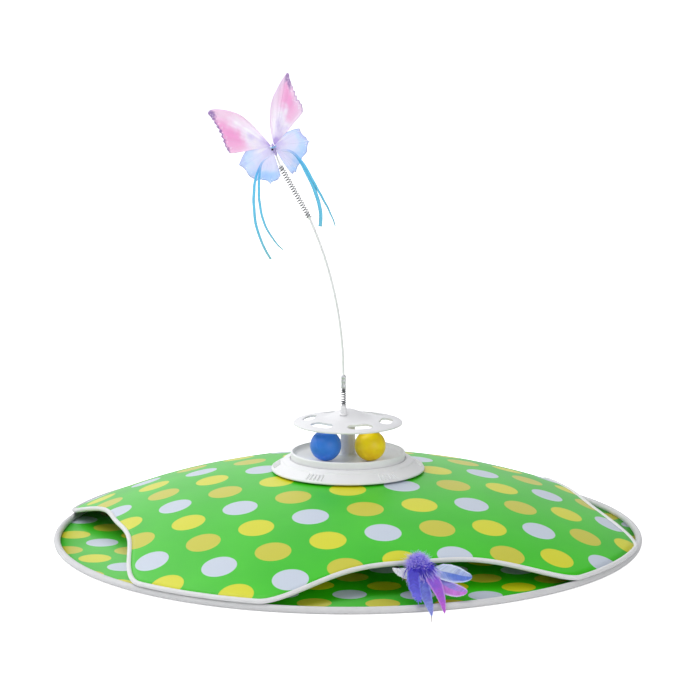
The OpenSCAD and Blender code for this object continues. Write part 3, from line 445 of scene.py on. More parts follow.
coverSet = {"hemR": 298.5 * mm, "hemZ": 9.6 * mm, "collarR": 66.1 * mm, "collarZ": 70.4 * mm,
            "bulgeR": 650 * mm, "arches": 4, "firstArch": 16, "archHalf": 32.5, "archDepth": 57 * mm,
            "square": 3.3, "thick": 1.2 * mm, "seam": 0.3 * mm, "slack": 0.5 * mm, "slackSize": 55 * mm,
            "around": 288, "down": 28, "printMiddle": 170 * mm, "printStretch": 0.459, "printShear": 0.207,
            "printBow": -0.08, "printFront": 120 * mm}


# the middle of the cover's slope is an arc through the hem and the collar
def slopeCentre():
    dr = coverSet["hemR"] - coverSet["collarR"]
    dz = coverSet["collarZ"] - coverSet["hemZ"]
    chord = math.hypot(dr, dz)
    back = math.sqrt(coverSet["bulgeR"] ** 2 - chord ** 2 / 4)
    return ((coverSet["hemR"] + coverSet["collarR"]) / 2 - back * dz / chord,
            (coverSet["hemZ"] + coverSet["collarZ"]) / 2 - back * dr / chord)


slopeR, slopeZ0 = slopeCentre()


def slopeZ(r):
    return slopeZ0 + math.sqrt(coverSet["bulgeR"] ** 2 - (r - slopeR) ** 2)


# how far out the cover reaches at a bearing: it is drawn in at each arch and eases back into the rim
def edgeR(bearing):
    pitch = 360 / coverSet["arches"]
    fromArch = (bearing - coverSet["firstArch"] + pitch / 2) % pitch - pitch / 2
    share = min(1, abs(fromArch) / coverSet["archHalf"])
    return coverSet["hemR"] - coverSet["archDepth"] * (1 - share ** coverSet["square"]) ** 2


def around(bearing, r, z):
    b = math.radians(bearing)
    return Vector((r * math.sin(b), -r * math.cos(b), z))


# the print is drawn out towards the hem, and its rows bow a little over the slope
def coverPrint(vert):
    spot = vert.co.xy
    drawn = spot * (1 + coverSet["printStretch"] * (spot.length - coverSet["printMiddle"]))
    drawn.x += coverSet["printShear"] * spot.x * (spot.y + coverSet["printFront"])
    drawn.y += coverSet["printBow"] * spot.x ** 2
    return drawn


def addCover():
    bm = bmesh.new()
    bmesh.ops.create_grid(bm, x_segments=coverSet["around"], y_segments=coverSet["down"], size=0.5)
    for vert in bm.verts:
        bearing = 360 * (vert.co.x + 0.5)
        share = vert.co.y + 0.5
        edge = edgeR(bearing) - coverSet["seam"]
        r = coverSet["collarR"] + (edge - coverSet["collarR"]) * share
        vert.co = around(bearing, r, slopeZ(r))
        # stretched cloth is never quite even
        uneven = noise.noise(vert.co / coverSet["slackSize"])
        vert.co.z += coverSet["slack"] * uneven * min(1, 4 * share * (1 - share))
    cleaned(bm, bm.verts)
    mapCorners(bm, "print", coverPrint)
    area = sum(face.calc_area() for face in bm.faces)
    cloth = dottedPolyester("coated polyester, cover print", coverDots)
    piece = thickened(finishPiece(bm, "coverCloth", cloth, clean=False), coverSet["thick"])
    place(piece, "base", "printed_fabric", "cover")


matSet = {"steps": 180, "rings": 20, "tuck": 2.6 * mm}


def addMat():
    low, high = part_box("ground_mat")
    reach = high.x + matSet["tuck"]
    bm = bmesh.new()
    bmesh.ops.create_circle(bm, cap_ends=True, segments=matSet["steps"], radius=reach)
    bmesh.ops.translate(bm, verts=bm.verts, vec=(0, 0, high.z))
    for _ in range(matSet["rings"]):
        middle = [f for f in bm.faces if len(f.verts) > 4]
        bmesh.ops.inset_region(bm, faces=middle, thickness=reach / (matSet["rings"] + 2),
                               use_even_offset=True)
    pullOut(bm, (0, 0, -(high.z - low.z)))
    bmesh.ops.recalc_face_normals(bm, faces=bm.faces)
    mapCorners(bm, "print", lambda vert: vert.co.xy)
    cloth = dottedPolyester("coated polyester, mat print", matDots)
    piece = finishPiece(bm, "matCloth", cloth, clean=False)
    place(piece, "base", "printed_fabric", "ground_mat")


# the mat's binding is the same tape as the cover's, with greyer tones: painted shade for the shade it lies in
# low by the floor
pipingSet = {"matSteps": 240, "matSides": 24, "coverSteps": 480, "coverSides": 6, "coverR": 2.4 * mm,
             "mapR": 3 * mm, "mat": ("#cecfd1", "#dedede"), "cover": ("#dcdcde", "#ecedec")}


# woven binding tape folded round a cord: a slanted twill and slight puckers
def bindingTape(name, dull, bright):
    material, tree = newMaterial(name, Roughness=0.62, Sheen_Weight=0.25, Sheen_Roughness=0.5)
    uv = addNode(tree, "UVMap", {}, uv_map="tape")
    slant = addNode(tree, "Mapping", {"Vector": uv, "Rotation": (0, 0, math.radians(40))})
    twill = addNode(tree, "TexWave", {"Vector": slant, "Scale": waveScale(1.1), "Distortion": 0.4})
    pucker = addNode(tree, "TexNoise", {"Vector": uv, **noiseOf(9, 2)})
    mixed = addNode(tree, "Mix", {"Factor": 0.55, "A": twill, "B": pucker})
    tone = addNode(tree, "ValToRGB", {"Fac": mixed}, [(0.1, dull), (0.75, bright)])
    bump = addNode(tree, "Bump", {"Height": mixed, "Strength": 0.5, "Distance": 0.35 * mm})
    return linked(material, Base_Color=tone, Normal=bump)


# map of a ring of piping, in metres: along the ring, and round its section
def mapTape(piece, middleOf):
    uv = piece.data.uv_layers.new(name="tape")
    hem, section = coverSet["hemR"], pipingSet["mapR"]
    for face in piece.data.polygons:
        spots = []
        for i in face.loop_indices:
            at = piece.data.vertices[piece.data.loops[i].vertex_index].co
            bearing = math.atan2(at.x, -at.y)
            r, z = middleOf(math.degrees(bearing))
            spots.append([bearing * hem, math.atan2(at.z - z, at.xy.length - r) * section])
        for axis, turn in ((0, 2 * math.pi * hem), (1, 2 * math.pi * section)):
            top = max(s[axis] for s in spots)
            for spot in spots:
                if top - spot[axis] > turn / 2:
                    spot[axis] += turn
        for i, spot in zip(face.loop_indices, spots):
            uv.data[i].uv = spot


def addPiping():
    low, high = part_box("mat_piping")
    r = (high.z - low.z) / 2
    middle = high.x - r
    bm = bmesh.new()
    ring = bmesh.ops.create_circle(bm, cap_ends=False, segments=pipingSet["matSides"], radius=r)["verts"]
    bmesh.ops.rotate(bm, verts=ring, matrix=Matrix.Rotation(math.pi / 2, 3, "X"))
    bmesh.ops.translate(bm, verts=ring, vec=(middle, 0, r))
    bmesh.ops.spin(bm, geom=bm.verts[:] + bm.edges[:], cent=(0, 0, 0), axis=(0, 0, 1), angle=2 * math.pi,
                   steps=pipingSet["matSteps"], use_merge=True)
    # greyer tones than the cover's tape: painted shade
    tape = bindingTape("woven polyester binding tape, mat, greyed for painted shade", *pipingSet["mat"])
    piece = finishPiece(bm, "matBinding", tape)
    mapTape(piece, lambda bearing: (middle, r))
    place(piece, "base", "white_piping", "mat_piping")

    line = []
    for i in range(pipingSet["coverSteps"]):
        bearing = 360 * i / pipingSet["coverSteps"]
        edge = edgeR(bearing)
        line.append(around(bearing, edge, slopeZ(edge)))
    tape = bindingTape("woven polyester binding tape, cover", *pipingSet["cover"])
    piece = barAlong("coverBinding", line, pipingSet["coverR"], tape, pipingSet["coverSides"], closed=True)
    mapTape(piece, lambda bearing: (edgeR(bearing), slopeZ(edgeR(bearing))))
    place(piece, "base", "white_piping", "cover_piping")


addCover()
addMat()
addPiping()


print("moulded pieces")


# a tone that drifts from place to place, and a grain that shows in the gloss or as relief
def grained(name, tones, drift, grain=None, gloss=None, relief=None, **constants):
    material, tree = newMaterial(name, **constants)
    at = addNode(tree, "TexCoord", {})
    cloud = addNode(tree, "TexNoise", {"Vector": at, **drift})
    into = {"Base_Color": addNode(tree, "ValToRGB", {"Fac": cloud}, tones)}
    fine = addNode(tree, "TexNoise", {"Vector": at, **grain}) if grain else cloud
    if gloss:
        into["Roughness"] = addNode(tree, "MapRange", {"Value": fine, **gloss})
    if relief:
        into["Normal"] = addNode(tree, "Bump", {"Height": fine, **relief})
    return linked(material, **into)


# injection-moulded ABS: even and slightly glossy, with a very fine spark-eroded grain; the grit is about
# 0.1 mm, drawn at 0.7 mm so that it shows
def mouldedAbs(name, colour, shade, roughness=0.38):
    return grained(name, [(0.3, shade), (0.7, colour)], noiseOf(35, 3), noiseOf(0.7, 2),
                   {"To Min": roughness - 0.06, "To Max": roughness + 0.08},
                   {"Strength": 0.08, "Distance": 0.05 * mm}, IOR=1.54)


# blown polypropylene: waxy and glossy, a little uneven, with fine scuffs from rolling
def blownPolypropylene(name, colour, deep):
    scuffs = {**noiseOf(1.6, 6), "Roughness": 0.7}
    return grained(name, [(0.35, deep), (0.65, colour)], noiseOf(12, 2), scuffs,
                   {"From Min": 0.35, "From Max": 0.75, "To Min": 0.3, "To Max": 0.5},
                   {"Strength": 0.05, "Distance": 0.1 * mm}, IOR=1.45, Subsurface_Weight=0.12,
                   Subsurface_Scale=1.5 * mm, Subsurface_Radius=linear(colour)[:3])


# drawn metal: bright along the wire, with faint draw lines
def drawnMetal(name, colour, shade, roughness):
    return grained(name, [(0.3, shade), (0.7, colour)], noiseOf(2.5, 4),
                   gloss={"To Min": roughness - 0.08, "To Max": roughness + 0.12}, Metallic=1)


# white nylon sleeve on the wire: soft sheen, a slight grey cast and fine drag marks
def coatedWire(name):
    return grained(name, [(0.3, "#eaebec"), (0.7, "#f6f6f7")], noiseOf(3, 3),
                   gloss={"To Min": 0.3, "To Max": 0.45}, IOR=1.53)


# flocked body: short lilac nap that catches light at its edge
def flockedBody(name):
    return grained(name, [(0.3, "#ac98d6"), (0.7, "#cdbeea")], noiseOf(0.6, 3),
                   relief={"Strength": 0.5, "Distance": 0.2 * mm}, Roughness=0.75, Sheen_Weight=0.6,
                   Sheen_Roughness=0.4)


whiteAbs = mouldedAbs("white moulded ABS", "#f0f0f1", "#e9e9eb")


# cuts a tool out of a piece, and the tool is gone
def cutOut(piece, tool):
    cut = piece.modifiers.new("cut", "BOOLEAN")
    cut.operation = "DIFFERENCE"
    cut.solver = "EXACT"
    cut.object = tool
    applied(piece)
    bpy.data.objects.remove(tool)


# a flat slot with round ends, whose middles lie a shift to either side
def roundEnded(tall, shift):
    bm = bmesh.new()
    bmesh.ops.create_circle(bm, cap_ends=True, segments=32, radius=tall / 2)
    bmesh.ops.rotate(bm, verts=bm.verts, matrix=Matrix.Rotation(math.pi / 32, 3, "Z"))
    for vert in bm.verts:
        vert.co.x += math.copysign(shift, vert.co.x)
    return bm


# an opening starts "from" the front of its node: the port's, the button's, and a pocket for its flange
shellSet = {
    "base": 0.8 * mm, "clamp": 0.2 * mm, "lipH": 1.5 * mm, "slopeIn": 1 * mm, "slopeZ": 2.3 * mm,
    "stepIn": 11 * mm, "stepZ": 8.2 * mm, "mouthIn": 18.7 * mm, "ledge": 2 * mm, "ring": 12.4 * mm,
    "ringT": 2.2 * mm, "clampIn": 2.3 * mm, "clampOut": 5.9 * mm, "rounding": 0.35 * mm, "steps": 144,
    "ribGroups": 6, "ribs": 5, "ribPitch": 3.2, "firstGroup": 33, "rib": (1.1 * mm, 8.2 * mm, 2.2 * mm),
    "ribZ": 5.2 * mm,
    "openings": [
        {"node": "charging_port", "gap": 0.5 * mm, "trim": 0, "from": 1 * mm, "deep": 30 * mm},
        {"node": "power_button", "gap": 0.3 * mm, "trim": 1.6 * mm, "from": 1 * mm, "deep": 30 * mm},
        {"node": "power_button", "gap": 0.3 * mm, "trim": 0, "from": -1.5 * mm, "deep": 2.8 * mm}]}


# a long hole with round ends, straight out through the back of the shell
def backOpening(hole):
    low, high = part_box(hole["node"])
    middle = (low + high) / 2
    wide = high.x - low.x + 2 * hole["gap"] - hole["trim"]
    tall = high.z - low.z + 2 * hole["gap"]
    bm = roundEnded(tall, (wide - tall) / 2)
    bmesh.ops.rotate(bm, verts=bm.verts, matrix=Matrix.Rotation(math.pi / 2, 3, "X"))
    bmesh.ops.translate(bm, verts=bm.verts, vec=(middle.x, low.y + hole["from"], middle.z))
    pullOut(bm, (0, hole["deep"], 0))
    return finishPiece(bm, "openingTool", None)


def addShell():
    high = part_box("top_shell")[1]
    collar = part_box("cover_collar")[1].z
    clamp = collar + shellSet["clamp"]
    base = collar + shellSet["base"]
    lip, top = high.x, high.z
    mouth = lip - shellSet["mouthIn"]
    step = lip - shellSet["stepIn"]
    ledge = top - shellSet["ledge"]
    under = ledge - shellSet["ringT"]
    inner = mouth - shellSet["ring"]
    clampIn, clampOut = mouth + shellSet["clampIn"], mouth + shellSet["clampOut"]
    slopeIn, slopeUp, stepUp = shellSet["slopeIn"], shellSet["slopeZ"], shellSet["stepZ"]
    profile = [(lip, base), (lip, base + shellSet["lipH"]), (lip - slopeIn, base + slopeUp),
               (step, base + stepUp), (step - 0.6 * mm, base + stepUp + 1.2 * mm),
               (mouth + 2.2 * mm, top - 0.2 * mm), (mouth, top), (mouth, ledge), (inner, ledge),
               (inner, under), (clampIn, under), (clampIn, clamp), (clampOut, clamp), (clampOut, under),
               (step - 0.8 * mm, base + 6.2 * mm), (lip - 2.7 * mm, base + 0.9 * mm),
               (lip - 2.4 * mm, base)]
    bm = bmesh.new()
    turned(bm, profile, shellSet["rounding"], shellSet["steps"])
    piece = finishPiece(bm, "shellMoulding", whiteAbs)
    for hole in shellSet["openings"]:
        cutOut(piece, backOpening(hole))
    # ribs lie on the slope, in groups
    slope = math.atan2(stepUp - slopeUp, shellSet["stepIn"] - slopeIn)
    bm = bmesh.new()
    bm.from_mesh(piece.data)
    for g in range(shellSet["ribGroups"]):
        for k in range(shellSet["ribs"]):
            rib = bmesh.ops.create_cube(bm, size=1)["verts"]
            bmesh.ops.scale(bm, verts=rib, vec=shellSet["rib"])
            bmesh.ops.bevel(bm, geom=list({e for v in rib for e in v.link_edges}),
                            offset=shellSet["rounding"], segments=2, profile=0.5, affect="EDGES",
                            material=-1)
            # the new rib still lies at the origin, where the shell has nothing
            fresh = [v for v in bm.verts if abs(v.co.x) < 1 * mm and abs(v.co.y) < 5 * mm and v.co.z < 2 * mm]
            inGroup = (k - (shellSet["ribs"] - 1) / 2) * shellSet["ribPitch"]
            bearing = shellSet["firstGroup"] + g * 360 / shellSet["ribGroups"] + inGroup
            move = Matrix.Rotation(math.radians(bearing), 4, "Z")
            move @= Matrix.Translation((0, -(lip + step) / 2, base + shellSet["ribZ"]))
            bmesh.ops.transform(bm, verts=fresh, matrix=move @ Matrix.Rotation(slope, 4, "X"))
    keepMesh(bm, piece.data)
    place(piece, "base", "white_plastic", "top_shell")


traySet = {"floorZ": 4.4 * mm, "floorT": 2 * mm, "rimH": 4.5 * mm, "wall": 2.6 * mm, "column": 7.5 * mm,
           "bore": 5.6 * mm, "rounding": 0.5 * mm, "steps": 144}


def addTray():
    low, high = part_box("ball_tray")
    rim, base, top = high.x, low.z, high.z
    floor = base + traySet["floorZ"]
    under = floor - traySet["floorT"]
    edge = floor + traySet["rimH"]
    wall = rim - traySet["wall"]
    column, bore = traySet["column"], traySet["bore"]
    profile = [(bore, under), (wall, under), (wall, base), (rim, base), (rim, edge - 0.9 * mm),
               (rim - 0.9 * mm, edge), (wall + 0.6 * mm, edge), (wall, edge - 0.7 * mm),
               (wall - 1.3 * mm, floor + 1.2 * mm), (wall - 3.6 * mm, floor), (column + 3 * mm, floor),
               (column + 1 * mm, floor + 1 * mm), (column, floor + 3 * mm), (column, top), (bore, top)]
    bm = bmesh.new()
    turned(bm, profile, traySet["rounding"], traySet["steps"])
    place(finishPiece(bm, "trayMoulding", whiteAbs), "base", "white_plastic", "ball_tray")


discSet = {"thick": 2 * mm, "slope": 0.157, "hubR": 30 * mm, "hubH": 13.5 * mm, "boss": 6 * mm,
           "bore": 2.55 * mm, "boreTop": 14 * mm, "rings": 12, "steps": 144, "slots": 6, "firstSlot": 18,
           "slotIn": 34 * mm, "slotOut": 46 * mm, "slotHalf": 19, "slotDeep": 20 * mm, "eased": 0.4 * mm,
           "easedFrom": 40}


# a bent slot with round ends, as a tool to cut with
def slotTool(bearing, z):
    width = discSet["slotOut"] - discSet["slotIn"]
    middle = (discSet["slotOut"] + discSet["slotIn"]) / 2
    straight = middle * math.radians(discSet["slotHalf"]) - width / 2
    bm = roundEnded(width, straight)
    sides = [e for e in bm.edges if e.calc_length() > straight]
    bmesh.ops.subdivide_edges(bm, edges=sides, cuts=12)
    pullOut(bm, (0, 0, discSet["slotDeep"]))
    for vert in bm.verts:
        turn = bearing + math.degrees(vert.co.x / middle)
        vert.co = around(turn, middle + vert.co.y, z + vert.co.z)
    return finishPiece(bm, "slotTool", None)


def addTurntable():
    low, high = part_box("turntable")
    rim, z = high.x, low.z
    thick, hub, rings = discSet["thick"], discSet["hubR"], discSet["rings"]
    boss, bore, boreTop = discSet["boss"], discSet["bore"], z + discSet["boreTop"]
    rise = discSet["hubH"] - discSet["slope"] * (rim - hub)

    def topAt(r):
        cone = z + thick + discSet["slope"] * (rim - max(r, hub))
        return cone if r > hub else cone + rise * (1 + math.cos(math.pi * r / hub)) / 2

    profile = [(rim, z + 0.4 * mm), (rim, z + thick - 0.5 * mm), (rim - 0.8 * mm, z + thick + 0.1 * mm)]
    profile += [(hub * (1 - k / rings), topAt(hub * (1 - k / rings))) for k in range(rings + 1)]
    profile += [(0, boreTop), (bore, boreTop), (bore, z + 0.2 * mm), (boss, z + 0.2 * mm),
                (boss, topAt(boss) - 2 * thick)]
    profile += [(hub * (0.5 + k / rings), topAt(hub * (0.5 + k / rings)) - thick - 0.3 * mm)
                for k in range(rings // 2 + 1)]
    profile += [(rim - 2 * mm, z + 0.1 * mm), (rim - 0.6 * mm, z)]
    bm = bmesh.new()
    turned(bm, profile, 0, discSet["steps"])
    piece = finishPiece(bm, "turntableMoulding", whiteAbs)
    for i in range(discSet["slots"]):
        cutOut(piece, slotTool(discSet["firstSlot"] + i * 360 / discSet["slots"], z - 2 * mm))
    edge = piece.modifiers.new("eased edges", "BEVEL")
    edge.width = discSet["eased"]
    edge.segments = 2
    edge.limit_method = "ANGLE"
    edge.angle_limit = math.radians(discSet["easedFrom"])
    edge.harden_normals = True
    for face in piece.data.polygons:
        face.use_smooth = True
    place(piece, "turntable", "white_plastic", "turntable")


ballSet = {"blue_ball": {"colour": "#3882ea", "deep": "#307ae0", "roll": (62, 25)},
           "yellow_ball": {"colour": "#ffe200", "deep": "#f2cc04", "roll": (-58, 30)}}
seamSet = {"raised": 1.006, "beside": 1.2 * mm, "drawnIn": 0.35, "gate": 0.995, "gateWide": 0.25 * mm,
           "gateDeep": 0.2 * mm}


# two blown halves: a raised seam round the middle and a gate mark at one pole
def addBalls():
    for name, ball in ballSet.items():
        low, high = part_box(name)
        middle = (low + high) / 2
        r = (high.z - low.z) / 2
        bm = bmesh.new()
        bmesh.ops.create_uvsphere(bm, u_segments=72, v_segments=48, radius=r)
        seam = [v for v in bm.verts if abs(v.co.z) < 0.001 * mm]
        bmesh.ops.scale(bm, verts=seam, vec=(seamSet["raised"], seamSet["raised"], 1))
        for vert in bm.verts:
            if 0.1 * mm < abs(vert.co.z) < seamSet["beside"]:
                vert.co.z *= seamSet["drawnIn"]
        gate = [f for f in bm.faces if f.calc_center_median().z > seamSet["gate"] * r]
        bmesh.ops.inset_region(bm, faces=gate, thickness=seamSet["gateWide"], depth=-seamSet["gateDeep"])
        over, aside = (math.radians(a) for a in ball["roll"])
        move = Matrix.Translation(middle) @ Matrix.Rotation(over, 4, "Y") @ Matrix.Rotation(aside, 4, "X")
        bmesh.ops.transform(bm, verts=bm.verts, matrix=move)
        skin = blownPolypropylene(name.split("_")[0] + " blown polypropylene", ball["colour"], ball["deep"])
        place(finishPiece(bm, name + "_blown", skin), name, name, name)


addShell()
addTray()
addTurntable()
addBalls()


print("wand")
wandSet = {"x": -4.5 * mm, "y": -12 * mm, "bendR": 393 * mm, "bend": 24, "bendSteps": 40, "wireR": 1.3 * mm,
           "tipLean": 29, "tipL": 59.5 * mm, "bodyLean": 20, "stemL": 17.4 * mm, "pegR": 1.35 * mm,
           "pegL": 3.5 * mm, "socketR": 3.15 * mm, "flareR": 4.6 * mm,
           "grooves": (3.6 * mm, 5.2 * mm, 9.2 * mm), "grooveT": 0.3 * mm, "plugR": 1.75 * mm,
           "plugEnd": 1.3 * mm}
springSet = {"base": {"turns": 7, "wire": 1.1 * mm, "d": 5.4 * mm, "steps": 24},
             "tip": {"turns": 22, "wire": 0.8 * mm, "d": 5.8 * mm, "steps": 20}}
springSteel = drawnMetal("drawn spring steel", "#7c7e82", "#595b5f", 0.3)
tipTurn = Matrix.Rotation(math.radians(-wandSet["tipLean"]), 4, "Y")


# a wound spring that stands at a place and leans left
def woundSpring(name, spring, foot, lean, length):
    tilt = Matrix.Rotation(math.radians(-lean), 3, "Y")
    r = (spring["d"] - spring["wire"]) / 2
    count = spring["turns"] * spring["steps"]
    line = []
    for i in range(count + 1):
        share = i / count
        a = 2 * math.pi * spring["turns"] * share
        rise = spring["wire"] / 2 + (length - spring["wire"]) * share
        line.append(Vector(foot) + tilt @ Vector((r * math.cos(a), r * math.sin(a), rise)))
    return barAlong(name, line, spring["wire"] / 2, springSteel, 2)


# a turned plug at the end of a wire, inside the tip spring
def addPlug(piece, profile, at):
    bm = bmesh.new()
    bm.from_mesh(piece.data)
    plug = turned(bm, profile, 0, 24)
    bmesh.ops.transform(bm, verts=plug, matrix=Matrix.Translation(at) @ tipTurn)
    cleaned(bm, plug)
    keepMesh(bm, piece.data)


def addWand():
    x, y, pegR, wireR = wandSet["x"], wandSet["y"], wandSet["pegR"], wandSet["wireR"]
    foot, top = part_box("wand_socket")
    ledge = top.z - wandSet["pegL"]
    socketR = wandSet["socketR"]
    bm = bmesh.new()
    turned(bm, [(0, foot.z), (socketR, foot.z), (socketR, ledge - 0.5 * mm), (2.7 * mm, ledge),
                (pegR, ledge), (pegR, top.z), (0, top.z)], 0, 32, at=(x, y))
    flare = [(3.1 * mm, ledge - 7.4 * mm), (wandSet["flareR"], ledge - 9.2 * mm),
             (3.1 * mm, ledge - 9.6 * mm)]
    turned(bm, flare, 0.2 * mm, 32, at=(x, y))
    place(finishPiece(bm, "wandSocketMoulding", whiteAbs), "turntable", "white_plastic", "wand_socket")

    low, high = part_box("wand_base_spring")
    piece = woundSpring("wandBaseSpringWound", springSet["base"], (x, y, low.z), 0, high.z - low.z)
    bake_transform(piece)
    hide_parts("wand_base_spring")

    low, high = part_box("wand_ferrule")
    seat = low.z + wandSet["pegL"]
    r = high.x - x
    groove = r - wandSet["grooveT"]
    profile = [(0, low.z), (pegR, low.z), (pegR, seat), (r, seat)]
    for up in wandSet["grooves"]:
        z = seat + up
        profile += [(r, z), (groove, z + 0.35 * mm), (groove, z + 0.65 * mm), (r, z + 1 * mm)]
    profile += [(r, high.z - 0.8 * mm), (wireR + 0.3 * mm, high.z), (0, high.z)]
    bm = bmesh.new()
    turned(bm, profile, 0, 40, at=(x, y))
    nickel = drawnMetal("nickel-plated brass", "#dedfe2", "#cccdd1", 0.34)
    place(finishPiece(bm, "wandFerruleCrimped", nickel), "wand", "steel", "wand_ferrule")

    # the wire bows to the left, and its crimp sits in the spring
    bendR = wandSet["bendR"]
    line = [Vector((x, y, high.z - 8 * mm)), Vector((x, y, high.z - 3 * mm))]
    for i in range(wandSet["bendSteps"] + 1):
        turn = math.radians(wandSet["bend"] * i / wandSet["bendSteps"])
        line.append(Vector((x - bendR * (1 - math.cos(turn)), y, high.z + bendR * math.sin(turn))))
    wire = barAlong("wandWireCoated", line, wireR, coatedWire("nylon-coated steel wire"), 3)
    end = line[-1]
    plugR, plugEnd = wandSet["plugR"], wandSet["plugEnd"]
    addPlug(wire, [(0, -1.2 * mm), (plugEnd, -1.2 * mm), (plugR, -0.4 * mm), (plugR, 5.4 * mm),
                   (plugEnd, 5.8 * mm), (0, 5.8 * mm)], end)
    place(wire, "wand", "white_wire", "wand_wire")

    tip = end + tipTurn.to_3x3() @ Vector((0, 0, wandSet["tipL"]))
    piece = woundSpring("wandTipSpringWound", springSet["tip"], end, wandSet["tipLean"], wandSet["tipL"])
    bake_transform(piece)
    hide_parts("wand_tip_spring")
    return tip


springTip = addWand()


print("butterfly")
low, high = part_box("butterfly_body")
bodyLean = Matrix.Rotation(math.radians(-wandSet["bodyLean"]), 4, "Y")
bodyTurn = Matrix.Translation((low + high) / 2) @ bodyLean
wingCut = {"veins": 11, "rings": 16, "bite": 0.045, "cup": 1.4 * mm, "ripple": 0.35 * mm, "thick": 0.3 * mm}
# places on a wing run round its outline from the root (0 to 1) and out from the root (0 to 1)
# each patch also places a painted highlight, a pale gloss streak, round the outline
filmSet = {
    "upper_left": {
        "inks": [(0.0, "#b49edb"), (0.15, "#d2c4e8"), (0.4, "#ebe3f4"), (0.7, "#efdcee"), (1.0, "#eecae3")],
        "patch": {"at": 0.56, "wide": 0.32, "start": 0.34, "full": 0.8, "colour": "#ea8fca", "paintedHighlight": 0.3,
                  "worn": 0.9},
        "margin": {"from": 0.385, "to": 0.76, "start": 0.925, "share": 0.85, "colour": "#76599f",
                   "tip": 0.405, "tipWide": 0.09, "tipStart": 0.87, "rim": "#cdb9de"}},
    "upper_right": {
        "inks": [(0.0, "#b49edb"), (0.15, "#d2c4e8"), (0.4, "#ebe3f4"), (0.7, "#efdcee"), (1.0, "#e6cfe8")],
        "patch": {"at": 0.46, "wide": 0.3, "start": 0.36, "full": 0.72, "colour": "#ea8fca", "paintedHighlight": 0.17,
                  "worn": 0.3},
        "margin": {"from": 0.36, "to": 0.72, "start": 0.955, "share": 0.7, "colour": "#76599f", "tip": 0.39,
                   "tipWide": 0.09, "tipStart": 0.85, "rim": "#cdb9de"}},
    "lower": {
        "inks": [(0.0, "#cfc2ea"), (0.35, "#e0dcf6"), (0.65, "#d9def9"), (0.9, "#c6dafb"), (1.0, "#bccaf3")],
        "patch": {"at": 0.62, "wide": 0.28, "start": 0.6, "full": 0.95, "colour": "#a6cbfa", "paintedHighlight": 0.14,
                  "worn": 1.0},
        "margin": {"from": 0.2, "to": 0.85, "start": 0.97, "share": 0.5, "colour": "#9088c6", "tip": 0.3,
                   "tipWide": 0.03, "tipStart": 0.95, "rim": "#a9a0d4"}},
}


